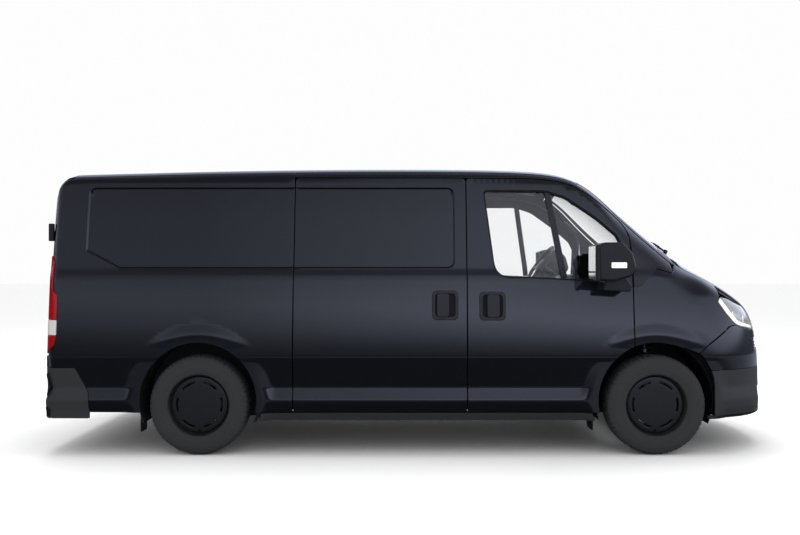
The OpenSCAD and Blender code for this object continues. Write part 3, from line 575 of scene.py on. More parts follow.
def prism(name, outline, axis, start, end, material, bevel=0.003, segments=2):
    # An outline in two axes, extruded along the third.
    n = len(outline)
    order = {"x": (1, 2, 0), "y": (0, 2, 1), "z": (0, 1, 2)}[axis]
    verts = []
    for w in (start, end):
        for p in outline:
            v = [0, 0, 0]
            v[order[0]], v[order[1]], v[order[2]] = p[0], p[1], w
            verts.append(v)
    faces = [list(range(n))[::-1], list(range(n, 2 * n))] + [[i, (i + 1) % n, n + (i + 1) % n, n + i] for i in range(n)]
    obj = meshObject(name, verts, faces, material, smooth=False)
    bm = bmesh.new()
    bm.from_mesh(obj.data)
    bmesh.ops.recalc_face_normals(bm, faces=bm.faces)
    bm.to_mesh(obj.data)
    bm.free()
    if bevel:
        soften(obj, bevel, segments)
    return obj


def lathe(name, outline, centre, axis, material, steps=96, closed=True):
    # Turns an outline of (radius, along) about an axis through centre.
    axis = Vector(axis).normalized()
    side = axis.orthogonal().normalized()
    up = axis.cross(side)
    n = len(outline)
    verts, faces = [], []
    for k in range(steps):
        a = 2 * math.pi * k / steps
        d = side * math.cos(a) + up * math.sin(a)
        verts += [Vector(centre) + d * r + axis * h for r, h in outline]
    for k in range(steps):
        b, c = k * n, ((k + 1) % steps) * n
        for i in range(n if closed else n - 1):
            j = (i + 1) % n
            faces.append((b + i, c + i, c + j, b + j))
    obj = meshObject(name, verts, faces, material)
    bm = bmesh.new()
    bm.from_mesh(obj.data)
    bmesh.ops.remove_doubles(bm, verts=bm.verts, dist=1e-6)
    bmesh.ops.recalc_face_normals(bm, faces=bm.faces)
    bm.to_mesh(obj.data)
    bm.free()
    weigh(obj, 30)
    return obj


def rod(name, points, radius, material, sides=16, caps=True):
    # A round bar through points.
    pts = [Vector(p) for p in points]
    verts, faces = [], []
    for i, p in enumerate(pts):
        d = ((pts[min(i + 1, len(pts) - 1)] - p).normalized() + (p - pts[max(i - 1, 0)]).normalized()).normalized()
        side = d.orthogonal().normalized() if i == 0 else (side - d * side.dot(d)).normalized()
        up = d.cross(side)
        verts += [p + (side * math.cos(2 * math.pi * k / sides) + up * math.sin(2 * math.pi * k / sides)) * radius
                  for k in range(sides)]
    for i in range(len(pts) - 1):
        for k in range(sides):
            a, b = i * sides + k, i * sides + (k + 1) % sides
            faces.append((a, b, b + sides, a + sides))
    if caps:
        faces.append(tuple(range(sides))[::-1])
        faces.append(tuple((len(pts) - 1) * sides + k for k in range(sides)))
    obj = meshObject(name, verts, faces, material)
    weigh(obj, 50)
    return obj


def join(name, objects):
    # Puts pieces of one body and finish together as one object.
    if len(objects) > 1:
        with bpy.context.temp_override(active_object=objects[0], selected_editable_objects=objects,
                                       selected_objects=objects, object=objects[0]):
            bpy.ops.object.join()
    objects[0].name = name
    objects[0].data.name = name
    return objects[0]


def place(obj, bodyName, slot=None, replaced=()):
    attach(obj, bodyName)
    if replaced:
        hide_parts(*replaced)
    return obj


# Body skin

def sideTop(x):
    share = np.where(x < screenHead, 0.93, 0.88)
    return topZ(x) - topDrop(x, share) - 0.002


doorTopLine = np.array([[doorRear - 0.1, 0], [noseX - 1.75, -0.003], [noseX - 1.652, -0.009], [noseX - 1.552, -0.022],
                        [noseX - 1.452, -0.05], [noseX - 1.354, -0.106], [noseX - 1.252, -0.181],
                        [noseX - 1.157, -0.262], [noseX - 1.112, -0.31], [noseX - 1.085, -0.355],
                        [doorFront + 0.001, -0.41]]) + [0, doorTop]
windowTop, windowLow = doorTop - 0.083, body["waist"] - 0.02
windowCorners = [(doorRear + 0.186, windowLow), (doorRear + 0.113, windowTop), (noseX - 1.64, windowTop - 0.001),
                 (noseX - 1.5, windowTop - 0.046), (noseX - 1.297, windowTop - 0.188),
                 (noseX - 1.165, windowTop - 0.302),
                 (noseX - 1.128, windowTop - 0.37), (noseX - 1.128, windowLow - 0.022),
                 (noseX - 1.36, windowLow - 0.02),
                 (doorRear + 0.42, windowLow)]
windowRounding = [0.16, 0.03, 0.2, 0.2, 0.1, 0.06, 0.05, 0.03, 0.2, 0.1]
windowLoop = rounded(windowCorners, windowRounding, 8)


def circleArc(cx, cz, r, a0, a1, n):
    return [(cx + r * math.cos(math.radians(a0 + (a1 - a0) * i / n)),
             cz + r * math.sin(math.radians(a0 + (a1 - a0) * i / n))) for i in range(n + 1)]


def archCut(axle, level):
    # Points of the arch from its rear foot over the top to its front foot, at a level.
    dz = level - archZ
    half = math.degrees(math.asin(dz / archRadius))
    return circleArc(axle, archZ, archRadius, 180 - half, half, 48)


pressSize = {"low": body["waist"] + 0.046, "high": body["roof"] - 0.166, "rear": tailX + 0.3,
             "front": sliderFront - 0.075,
             "radius": 0.05, "depth": 0.011, "edge": 0.011, "cut": 0.235}


def pressDepth(x, z):
    # The pressed panel of the cargo side, with its chamfered rear bottom corner.
    p = pressSize
    cx, cz = (p["rear"] + p["front"]) / 2, (p["low"] + p["high"]) / 2
    hx, hz = (p["front"] - p["rear"]) / 2, (p["high"] - p["low"]) / 2
    r = p["radius"]
    qx, qz = np.abs(x - cx) - hx + r, np.abs(z - cz) - hz + r
    d = np.sqrt(np.maximum(qx, 0) ** 2 + np.maximum(qz, 0) ** 2) + np.minimum(np.maximum(qx, qz), 0) - r
    slope = ((p["rear"] + 0.225 - x) * 0.52 + (p["low"] - z) + 0.002) / 1.13
    d = np.maximum(d, slope)
    t = np.clip(-d / p["edge"], 0, 1)
    return p["depth"] * t * t * (3 - 2 * t)


wCrease, wWaist = body["crease"], body["waist"]
skinRows = [(wCrease, 0.024, 0.004), (wCrease - 0.205, 0.024, 0.006), (wCrease - 0.29, 0.02, 0.006),
            (wWaist - 0.01, 0.03, 0.006), (wWaist + 0.045, 0.03, 0.006)]
pressRows = skinRows + [(pressSize["low"] + 0.005, 0.016, 0.0028), (pressSize["high"] - 0.005, 0.016, 0.0028)]


archRows = [(archZ + 0.27, 0.26, 0.024)]


def archCols(axle):
    return [(axle, 0.52, 0.024)]


# Side panels behind the doors
def cargoSide(frontEdge, name, material, flip):
    rearEdge = tailStart - (90 - math.degrees(math.asin((0.84 + 0.0065) ** 4))) / tailTurn
    low = body["crease"] - 0.072
    corner = [(rearEdge, low), (tailX + 0.255, low), (tailX + 0.342, low - 0.168), (tailX + 0.349, doorBottom)]
    arch = archCut(rearAxle, doorBottom)
    pts = corner + [(p[0], p[1]) for p in arch] + [(frontEdge, doorBottom), (frontEdge, doorTop - 0.03)]
    topLine = [(x, float(sideTop(np.float64(max(x, tailStart - 0.02)))) - (0.012 if x < tailStart else 0))
               for x in np.linspace(frontEdge, tailStart, 24)]
    pts += topLine + [(tailStart - 0.03, topLine[-1][1] - 0.006), (rearEdge, topLine[-1][1] - 0.03)]
    return panel(name, sidePoint, pts, material, cols=0.045, rows=0.045,
                 fineCols=archCols(rearAxle) + [(pressSize["rear"] + 0.005, 0.018, 0.003),
                                                       (pressSize["rear"] + 0.12, 0.13, 0.008),
                                                       (pressSize["front"] - 0.005, 0.018, 0.003),
                                                       (tailStart, 0.02, 0.004), (tailStart - 0.06, 0.06, 0.006)],
                 fineRows=pressRows + archRows + [(pressSize["low"] + 0.08, 0.09, 0.011)], press=pressDepth,
                 thick=0.016,
                 flip=flip)


place(cargoSide(sliderRear - body["gap"], "cargo_side_right", blackEnamel, False), "body", "paint",
      ["side_panel_right"])
place(cargoSide(doorRear - body["gap"], "cargo_side_left", blackEnamel, True), "body", "paint", ["side_panel_left"])
print("cargo sides done")


# The rail over the doors and the pillar beside the windscreen, in one piece
def sideFrame(startX, name, flip):
    gap = body["gap"]
    low = [(startX, doorTop + gap)] + [(p[0] + gap * 0.6, p[1] + gap) for p in doorTopLine[1:-1]]
    low += [(doorFront + gap, doorTop - 0.395), (doorFront + gap, wWaist + 0.093), (screenFoot - 0.03, wWaist + 0.012)]
    high = [(x, float(sideTop(np.float64(x)))) for x in
            list(np.linspace(screenFoot - 0.03, screenHead, 16)) + list(np.linspace(screenHead - 0.004, startX, 30))]
    return panel(name, sidePoint, low + high, blackEnamel, cols=0.04, rows=0.02, thick=0.03, radius=0.004, flip=flip,
                 step=0.015)


place(sideFrame(sliderRear - body["gap"] + 0.002, "roof_side_right", False), "body", "paint")
place(sideFrame(doorRear - body["gap"] + 0.002, "roof_side_left", True), "body", "paint")

# Sliding door
sliderOutline = [(sliderRear, doorBottom), (sliderFront, doorBottom), (sliderFront, doorTop), (sliderRear, doorTop)]
slidingDoor = panel("sliding_door_skin", sidePoint, rounded(sliderOutline, [0.02, 0.02, 0.03, 0.03]), blackEnamel,
                    cols=0.045, rows=0.045, fineCols=[(pressSize["front"] - 0.005, 0.018, 0.003),
                                                     (pressSize["front"] - 0.03, 0.05, 0.008)],
                    fineRows=pressRows, press=pressDepth, thick=0.045)
place(slidingDoor, "body", "paint", ["sliding_door"])


# Front doors
def frontDoor(name, flip):
    arch = [p for p in circleArc(frontAxle, archZ, archRadius, 195, 105, 40)
            if p[1] > doorBottom + 0.0005 and p[0] < doorFront - 0.0005]
    foot = frontAxle - math.sqrt(archRadius ** 2 - (doorBottom - archZ) ** 2)
    head = archZ + math.sqrt(archRadius ** 2 - (doorFront - frontAxle) ** 2)
    pts = [(doorRear, doorBottom), (foot, doorBottom)] + arch + [(doorFront, head), (doorFront, doorTop - 0.405)]
    pts += [tuple(p) for p in doorTopLine[::-1][1:-1]] + [(doorRear + 0.02, doorTop),
                                                          (doorRear + 0.004, doorTop - 0.008),
                                                         (doorRear, doorTop - 0.03)]
    return panel(name, sidePoint, pts, blackEnamel, holes=[windowLoop], cols=0.04, rows=0.04,
                 fineCols=archCols(frontAxle), fineRows=skinRows + archRows, thick=0.05, flip=flip, step=0.014)


place(frontDoor("front_door_skin_right", False), "front_door_right", "paint", ["front_door_right"])
place(frontDoor("front_door_skin_left", True), "front_door_left", "paint", ["front_door_left"])
print("doors done")

# Bonnet, seen from above
bonnetHalf = np.array([[bonnetRear, 0.708], [noseX - 0.56, 0.716], [noseX - 0.4, 0.7], [noseX - 0.3, 0.672],
                       [noseX - 0.21, 0.612], [noseX - 0.15, 0.52], [noseX - 0.105, 0.36], [noseX - 0.08, 0.18],
                       [noseX - 0.076, 0]])


def bonnetWidth(x, grow=0.0):
    return np.interp(x - grow, bonnetHalf[:, 0], bonnetHalf[:, 1]) + grow * 0.8


fine = rounded([(p[0], -p[1]) for p in bonnetHalf] + [(p[0], p[1]) for p in bonnetHalf[::-1][1:]],
               [0.03] + [0.25] * 15 + [0.03], 4)
bonnetSkin = panel("bonnet_skin", topPoint, fine, blackEnamel, cols=0.03, rows=0.03, thick=0.012, radius=0.004,
                   step=0.012)
place(bonnetSkin, "bonnet", "paint", ["bonnet"])


def bonnetLine(points):
    # Heights on the side skin along the bonnet's edge, at stations s
    out = []
    for s in points:
        z = 1.1
        for _ in range(30):
            p = sidePoint(np.array([s]), np.array([z]))[0]
            edge = float(bonnetWidth(p[0], 0.006))
            # lower z makes the skin wider
            z += (abs(p[1]) - edge) * 0.25
            z = min(z, float(topZ(p[0])) - 0.004)
        out.append((s, z))
    return out


# Headlamp outline on the skin, by station and height
lampLow = [(noseX - 0.501, 1.022), (noseX - 0.45, 0.935), (noseX - 0.4, 0.869), (noseX - 0.36, 0.848),
           (noseX - 0.21, 0.816), (noseX - 0.14, 0.81)]
lampHigh = [(noseX - 0.14, 0.905), (noseX - 0.176, 0.925), (noseX - 0.27, 0.972), (noseX - 0.36, 1.003),
            (noseX - 0.43, 1.04), (noseX - 0.478, 1.05)]
lampOutline = rounded(lampLow + lampHigh, [0.02, 0.1, 0.04, 0.06, 0.1, 0.03, 0.03, 0.1, 0.1, 0.1, 0.05, 0.02], 4)

wingRear = doorFront + body["gap"]
seamTop, seamLow = (noseX - 0.441, 0.853), (noseX - 0.629, 0.6755)


def frontArch(low, high):
    # The front half of the front arch, squarer than a circle, from the top down
    shape = [(0.0, 0.388), (0.06, 0.383), (0.12, 0.37), (0.2, 0.348), (0.27, 0.3235), (0.296, 0.3105), (0.32, 0.288),
             (0.35, 0.245), (0.372, 0.198), (0.384, 0.15), (0.388, 0.1), (0.388, 0.0), (0.388, -0.14)]
    t = np.array(shape) + [frontAxle, archZ]
    fine = resample(np.concatenate([t, t[::-1][1:-1] + [1e-5, 0]]), 0.02)
    fine = fine[:len(fine) // 2]
    return [tuple(p) for p in fine if low < p[1] < high]


def wingPanel(name, flip):
    head = archZ + math.sqrt(archRadius ** 2 - (wingRear - frontAxle) ** 2)
    arch = [p for p in circleArc(frontAxle, archZ, archRadius, 112, 90, 14) if p[0] > wingRear + 0.002]
    meet = arch + frontArch(seamLow[1] + 0.005, archZ + archRadius - 0.001)
    edge = bonnetLine(np.linspace(noseX - 0.475, bonnetRear, 16))
    grow = body["gap"]
    lampSide = [(p[0] - grow * 0.8, p[1] - grow * 0.4) for p in lampLow[:3]][::-1]
    pts = [(wingRear, head)] + meet + [(seamLow[0] - 0.001, seamLow[1] + 0.001), (seamTop[0] - 0.001, seamTop[1])]
    pts += [(noseX - 0.4, 0.862)] + lampSide + [(noseX - 0.484, 1.056)]
    pts += edge + [(screenFoot + 0.01, wWaist + 0.075), (screenFoot - 0.03, wWaist + 0.007), (wingRear, wWaist + 0.088)]
    return panel(name, sidePoint, pts, blackEnamel, cols=0.035, rows=0.035, fineCols=archCols(frontAxle),
                 fineRows=skinRows + archRows, thick=0.012, radius=0.0025, flip=flip)


wingRight = wingPanel("wing_skin_right", False)
place(wingRight, "body", "paint", ["front_wing_right"])
place(wingPanel("wing_skin_left", True), "body", "paint", ["front_wing_left"])

# Painted nose, from one wing seam around to the other
bumperTop = body["crease"] - 0.095


def nosePanel():
    right = []
    archFoot = frontAxle + 0.3715
    arch = frontArch(bumperTop + 0.006, seamLow[1] - 0.006)[::-1]
    right += [(archFoot, bumperTop + 0.002)] + arch + [(seamLow[0] + 0.002, seamLow[1] - 0.003)]
    right += [(seamTop[0] + 0.003, seamTop[1] - 0.003), (noseX - 0.398, 0.8595)]
    right += [(p[0], p[1] - 0.006) for p in lampLow[3:]] + [(noseX - 0.12, 0.815), (noseX - 0.118, 0.9)]
    edge = bonnetLine([noseX - 0.13, noseX - 0.1, noseX - 0.05, noseX, noseX + 0.035])
    right += [(noseX - 0.128, min(0.912, edge[0][1]))] + edge[0:]
    left = [(-(noseEnd - s), z) for s, z in right]
    return left + [(-t, z) for t, z in left[::-1]]


noseOutline = nosePanel()
grilleSlot = rounded([(-0.29, 0.682), (0.29, 0.682), (0.31, 0.76), (-0.31, 0.76)], 0.02)
nose = panel("nose_skin", nosePoint, noseOutline, blackEnamel, holes=[grilleSlot], cols=0.03, rows=0.03, thick=0.012,
             fineRows=[(wCrease, 0.03, 0.008)])
place(nose, "body", "paint", ["nose_panel"])


def bumperOutline():
    low = body["sill"] + 0.02
    rear = frontAxle + 0.3725
    arch = frontArch(low + 0.02, bumperTop - 0.004)[::-1]
    right = [(noseX - 0.5, low - 0.0), (frontAxle + 0.39, low + 0.012)] + arch + [(rear, bumperTop)]
    left = [(-(noseEnd - s), z) for s, z in right]
    return left + [(-t, z) for t, z in left[::-1]]


lowerIntake = rounded([(-0.24, 0.335), (0.24, 0.335), (0.25, 0.42), (-0.25, 0.42)], 0.015)
bumperSkin = panel("front_bumper_skin", nosePoint, bumperOutline(), grainedPolypropylene, holes=[lowerIntake],
                   cols=0.03,
                   rows=0.03, thick=0.012, radius=0.003)
place(bumperSkin, "body", "plastic", ["front_bumper"])
print("nose done")

# Roof skin
roofX = np.linspace(tailFace + 0.034, screenHead - 0.003, 30)


def roofHalf(x):
    z = float(topZ(x) - topDrop(x, 0.93))
    return float(halfY(np.float64(x), np.float64(z))) - 0.001


roofOutline = [(x, -roofHalf(x)) for x in roofX] + [(x, roofHalf(x)) for x in roofX[::-1]]
roofSkin = panel("roof_skin", topPoint, roofOutline, blackEnamel, cols=0.05, rows=0.016, thick=0.02, radius=0.003)
place(roofSkin, "body", "paint", ["roof"])

# Windscreen: glass with a black ceramic border
screenX = np.linspace(screenHead + 0.003, screenFoot, 20)


def screenHalf(x, share=0.872):
    z = float(topZ(x) - topDrop(x, share))
    return float(halfY(np.float64(x), np.float64(z)))


screenOutline = rounded([(x, -screenHalf(x)) for x in screenX] + [(x, screenHalf(x)) for x in screenX[::-1]],
                        [0.05] + [0.0] * 18 + [0.06, 0.06] + [0.0] * 18 + [0.05], 6)
clearX = np.linspace(screenHead + 0.05, screenFoot - 0.09, 14)
clearOutline = rounded([(x, -screenHalf(x) + 0.045) for x in clearX] + [(x, screenHalf(x) - 0.045)
                                                                        for x in clearX[::-1]],
                       [0.05] + [0.0] * 12 + [0.08, 0.08] + [0.0] * 12 + [0.05], 6)
screen = panel("windscreen_glass", topPoint, clearOutline, floatGlass, cols=0.05, rows=0.06, thick=0.005, radius=0.0005,
               sunk=0.001)
place(screen, "body", "glass", ["windscreen"])
frit = panel("windscreen_border", topPoint, screenOutline, ceramicFrit, holes=[clearOutline], cols=0.04, rows=0.04,
             thick=0.006, radius=0.001)
place(frit, "body", "glass")

# Tray between the screen and the bonnet
trayX = np.linspace(screenFoot + 0.004, bonnetRear - 0.008, 4)
tray = panel("scuttle_tray", topPoint, [(x, -0.70) for x in trayX] + [(x, 0.70) for x in trayX[::-1]],
             grainedPolypropylene, cols=0.01, rows=0.03, thick=0.02, sunk=0.012)
place(tray, "body", "plastic", ["cowl"])
print("top done")

# Rear doors, meeting at a seam down the middle
rearSill = 0.497


def rearDoorOutline():
    seamTurn = 90 - math.degrees(math.asin(0.836 ** 4))
    top = float(topZ(tailFace + 0.07)) - 0.062
    edge = []
    for z in np.linspace(rearSill, top, 16):
        p = sidePoint(np.array([tailStart - seamTurn / tailTurn]), np.array([z]))[0]
        edge.append((p[1], z))
    return edge + [(-0.005, top), (-0.005, rearSill)]


def rearDoor(name, flip):
    pts = rearDoorOutline()
    return panel(name, tailPoint, rounded(pts, [0.02] + [0.0] * (len(pts) - 4) + [0.05, 0.01, 0.01], 4), blackEnamel,
                 cols=0.03, rows=0.04, fineRows=skinRows, thick=0.04, turn=-1, flip=flip)


place(rearDoor("rear_door_skin_right", False), "rear_door_right", "paint", ["rear_door_right"])
place(rearDoor("rear_door_skin_left", True), "rear_door_left", "paint", ["rear_door_left"])
print("rear doors done")


# Trim on the sides

def onSide(x, z, out=0.0):
    # A place on the right side's skin, moved out by a distance
    p = sidePoint(np.array([x]), np.array([z]))
    n = skinNormals(sidePoint, np.array([x]), np.array([z]), 1)
    return Vector((p + n * out)[0])


sill = {"low": body["sill"] + 0.001, "high": doorBottom - body["gap"], "rear": rearAxle + archRadius + 0.03,
        "front": frontAxle - archRadius - 0.03}
for side, flip in (("right", False), ("left", True)):
    outline = [(sill["rear"], sill["low"]), (sill["front"], sill["low"]), (sill["front"] - 0.012, sill["high"]),
               (sill["rear"] - 0.0, sill["high"])]
    cover = panel("sill_cover_" + side, sidePoint, rounded(outline, 0.006), grainedPolypropylene, cols=0.06, rows=0.02,
                  thick=0.03, sunk=0.002, flip=flip)
    place(cover, "body", "paint", ["sills"] if side == "right" else ())

# Rear bumper with its corners
cornerTop = body["crease"] - 0.074


def rearBumperPoint(t, z):
    # t runs from the right side's front end around the tail to the left
    t, z = np.broadcast_arrays(np.asarray(t, float), np.asarray(z, float))
    bulge = 0.012 + 0.008 * softStep(0.37 - z, 0.006) - 0.1 * ramp(0.285 - z, 0.01)
    half = 0.95
    side = np.abs(t) > half
    sx = tailStart - 0.03 + (np.abs(t) - half)
    flat = tailPoint(np.clip(t, -half, half), np.clip(z, 0.3, 1))
    along = sidePoint(np.maximum(sx, tailStart - 0.03), np.clip(z, 0.3, 1))
    along[..., 1] *= np.where(t > 0, -1, 1)
    p = np.where(side[..., None], along, flat)
    p[..., 2] = z
    away = np.where(side, 0, 1)
    p[..., 0] -= bulge * np.clip((half + 0.1 - np.abs(t)) / 0.12, 0, 1)
    p[..., 1] += np.sign(t) * 0.004 * away
    return p


def rearBumperOutline():
    def along(x):
        return 0.95 + (x - (tailStart - 0.03))

    half = [(along(tailX + 0.345), 0.245), (along(tailX + 0.345), 0.295), (along(tailX + 0.339), 0.415),
            (along(tailX + 0.253), cornerTop), (0.842, cornerTop), (0.836, rearSill - 0.006)]
    return [(-t, z) for t, z in half[::-1]] + half


rearLoop = rearBumperOutline()
rightHalf = [p for p in rearLoop if p[0] > 0]
rearLoop = rightHalf + [(-t, z) for t, z in rightHalf[::-1]]
bumper = panel("rear_bumper_skin", rearBumperPoint, rounded(rearLoop, 0.008), grainedPolypropylene, cols=0.03,
               rows=0.012, fineCols=[(0.95, 0.06, 0.006), (-0.95, 0.06, 0.006)], thick=0.02, radius=0.003, turn=-1)
place(bumper, "body", "plastic", ["rear_bumper"])
print("rear bumper done")


# Window of a front door: glass, the bar of its quarter light and the rubber around it
divider = {"foot": (noseX - 1.53, windowLow + 0.006), "head": (noseX - 1.628, windowTop + 0.004), "width": 0.042}
for side, flip in (("right", False), ("left", True)):
    door = "front_door_" + side
    glass = panel("door_window_" + side, sidePoint, windowLoop, floatGlass, cols=0.06, rows=0.06, thick=0.004,
                  radius=0.0005, sunk=0.02, flip=flip)
    place(glass, door, "glass", ["door_glass_" + side])
    seal = panel("window_rubber_" + side, sidePoint, windowLoop, blackRubberAndSlotShade, cols=0.5, rows=0.5,
                 holes=[offsetLoop(resample(windowLoop, 0.012), 0.009)], thick=0.018, radius=0.001, sunk=0.003,
                 flip=flip)
    place(seal, door, "plastic")
    (x0, z0), (x1, z1), w = divider["foot"], divider["head"], divider["width"] / 2
    bar = panel("quarter_light_bar_" + side, sidePoint, [(x0 - w, z0), (x0 + w, z0), (x1 + w, z1), (x1 - w, z1)],
                smoothAbs, cols=0.02, rows=0.03, thick=0.018, radius=0.003, sunk=0.008, flip=flip)
    place(bar, door, "plastic")
    sailDoor = rounded([(noseX - 1.3, wWaist - 0.078), (doorFront - 0.003, wWaist - 0.078),
                        (doorFront - 0.003, wWaist + 0.202), (noseX - 1.124, wWaist + 0.12),
                        (noseX - 1.124, wWaist - 0.036), (noseX - 1.27, wWaist - 0.038)], 0.004)
    sail = panel("mirror_sail_" + side, sidePoint, sailDoor, smoothAbs, cols=0.02, rows=0.02, thick=0.006, radius=0.002,
                 sunk=-0.004, flip=flip)
    place(sail, door, "plastic")
    sailWing = rounded([(wingRear + 0.002, wWaist - 0.078), (noseX - 1.02, wWaist - 0.078),
                        (noseX - 0.888, wWaist + 0.05),
                        (noseX - 1.0, wWaist + 0.146), (wingRear + 0.002, wWaist + 0.196)],
                       [0.002, 0.04, 0.02, 0.02, 0.002])
    fixedSail = panel("wing_sail_" + side, sidePoint, sailWing, smoothAbs, cols=0.02, rows=0.02, thick=0.006,
                      radius=0.002, sunk=-0.004, flip=flip)
    place(fixedSail, "body", "plastic")


# Door mirror
def doorMirror(side):
    y0 = -halfWidth
    profileX = noseX - 1.39
    shell = prism("mirror_shell_" + side,
                  rounded([(profileX + 0.022, 1.168), (profileX + 0.12, 1.163), (profileX + 0.235, 1.195),
                           (profileX + 0.262, 1.24), (profileX + 0.235, 1.345), (profileX + 0.17, 1.412),
                           (profileX + 0.05, 1.41), (profileX + 0.018, 1.385)],
                          [0.02, 0.05, 0.05, 0.05, 0.08, 0.06, 0.04, 0.02]), "y", y0 - 0.255, y0 - 0.022, smoothAbs,
                  0.022, 4)
    rim = block("mirror_rim_" + side, (profileX + 0.002, y0 - 0.25, 1.158), (profileX + 0.034, y0 - 0.028, 1.396),
                smoothAbs, 0.012, 3)
    glass = block("mirror_glass_" + side, (profileX - 0.001, y0 - 0.24, 1.225), (profileX + 0.006, y0 - 0.038, 1.388),
                  metallisedReflector, 0.002)
    wide = block("mirror_wide_glass_" + side, (profileX - 0.001, y0 - 0.24, 1.166),
                 (profileX + 0.006, y0 - 0.038, 1.216),
                 metallisedReflector, 0.002)
    # The lamp lens in the mirror shell glows with painted light.
    lens = block("mirror_lamp_" + side, (profileX + 0.098, y0 - 0.2585, 1.247), (profileX + 0.196, y0 - 0.235, 1.283),
                 whiteLensPaintedGlow, 0.004)
    arm = prism("mirror_arm_" + side, rounded([(profileX + 0.075, 1.1), (profileX + 0.25, 1.092),
                                               (profileX + 0.262, 1.13),
                                               (profileX + 0.225, 1.185), (profileX + 0.09, 1.185)], 0.012),
                "y", y0 - 0.13, y0 + 0.075, smoothAbs, 0.008, 3)
    return [join("mirror_housing_" + side, [shell, rim, arm]), join("mirror_glasses_" + side, [glass, wide]), lens]


for side in ("right", "left"):
    for piece in doorMirror(side):
        if side == "left":
            name = piece.name
            piece.name = "old"
            twin = mirrorY(piece, name)
            bpy.data.objects.remove(piece)
            piece = twin
        place(piece, "front_door_" + side, "plastic", ["mirror_" + side] if "housing" in piece.name else ())
print("mirrors done")


# Flush pull handles in a square pocket
def pullHandle(x0, x1, z0, z1, name, flip, gripSide):
    frameLoop = rounded([(x0, z0), (x1, z0), (x1, z1), (x0, z1)], 0.034, 6)
    innerLoop = rounded([(x0 + 0.022, z0 + 0.022), (x1 - 0.022, z0 + 0.022), (x1 - 0.022, z1 - 0.022),
                         (x0 + 0.022, z1 - 0.022)], 0.026, 6)
    ring = panel(name + "_frame", sidePoint, frameLoop, smoothAbs, holes=[innerLoop], cols=0.5, rows=0.5, thick=0.016,
                 radius=0.004, sunk=-0.009, flip=flip, step=0.008)
    dish = panel(name + "_dish", sidePoint, innerLoop, blackRubberAndSlotShade, cols=0.02, rows=0.02, thick=0.004, radius=0.001,
                 sunk=-0.0012, flip=flip)
    g0 = x0 + 0.03 if gripSide < 0 else x0 + 0.05
    gripLoop = rounded([(g0, z0 + 0.018), (g0 + 0.085, z0 + 0.018), (g0 + 0.085, z1 - 0.018), (g0, z1 - 0.018)],
                       0.022, 6)
    grip = panel(name + "_grip", sidePoint, gripLoop, smoothAbs, cols=0.02, rows=0.02, thick=0.012, radius=0.005,
                 sunk=-0.016, flip=flip, step=0.008)
    return join(name, [ring, dish, grip])


handles = {"z0": 0.898, "z1": 1.088, "front": 0.4216, "slider": 0.106, "width": 0.175}
for side, flip in (("right", False), ("left", True)):
    handle = pullHandle(handles["front"], handles["front"] + handles["width"], handles["z0"], handles["z1"],
                        "door_handle_" + side, flip, 1)
    place(handle, "front_door_" + side, "plastic")
handle = pullHandle(handles["slider"], handles["slider"] + handles["width"], handles["z0"] + 0.003,
                    handles["z1"] + 0.008, "sliding_door_handle", False, -1)
place(handle, "body", "plastic")

# Rail of the sliding door: a flat black strip standing 1.5 mm proud of the skin under the pressed panel, painted shade
# in place of the slot's depth
railSlotShadeLoop = rounded([(tailX + 0.53, wWaist + 0.032), (sliderRear - 0.012, wWaist + 0.032),
                    (sliderRear - 0.012, wWaist + 0.047),
                    (tailX + 0.53, wWaist + 0.047)], 0.003)
place(panel("sliding_door_rail_slot_painted_shade", sidePoint, railSlotShadeLoop, blackRubberAndSlotShade, cols=0.1, rows=0.5, thick=0.012, radius=0.001,
            sunk=-0.0015), "body", "plastic")


# Wheels

wheel = {"radius": tyreRadius, "width": 0.215, "rimRadius": 0.203, "lugCount": 6, "capRadius": 0.155,
         "slotRadius": 0.15, "slotWidth": 0.013, "slotHalfAngle": 18, "face": 0.058}


def polarPlate(name, radii, heights, material, holes=(), steps=180, thick=0.003):
    # A pressed disc around Y; holes are (angle, half angle, inner radius, outer radius) in degrees and metres
    verts, faces = [], []
    n = len(radii)
    for k in range(steps):
        a = 2 * math.pi * k / steps
        verts += [(math.sin(a) * r, -h, math.cos(a) * r) for r, h in zip(radii, heights)]
    for k in range(steps):
        mid = 360 * (k + 0.5) / steps
        for i in range(n - 1):
            rm = (radii[i] + radii[i + 1]) / 2
            if any(abs((mid - a + 180) % 360 - 180) < half and r0 < rm < r1 for a, half, r0, r1 in holes):
                continue
            j = ((k + 1) % steps) * n
            faces.append((k * n + i, j + i, j + i + 1, k * n + i + 1))
    obj = meshObject(name, verts, faces, material)
    thicken = obj.modifiers.new("thickness", "SOLIDIFY")
    thicken.thickness = thick
    thicken.offset = 1 if obj.data.polygons[0].normal.y > 0 else -1
    settle(obj)
    weigh(obj, 40)
    return obj


def settle(obj):
    # Makes the modifiers' result the piece's own mesh
    bpy.context.view_layer.update()
    made = bpy.data.meshes.new_from_object(obj.evaluated_get(bpy.context.evaluated_depsgraph_get()))
    obj.modifiers.clear()
    old = obj.data
    obj.data = made
    bpy.data.meshes.remove(old)


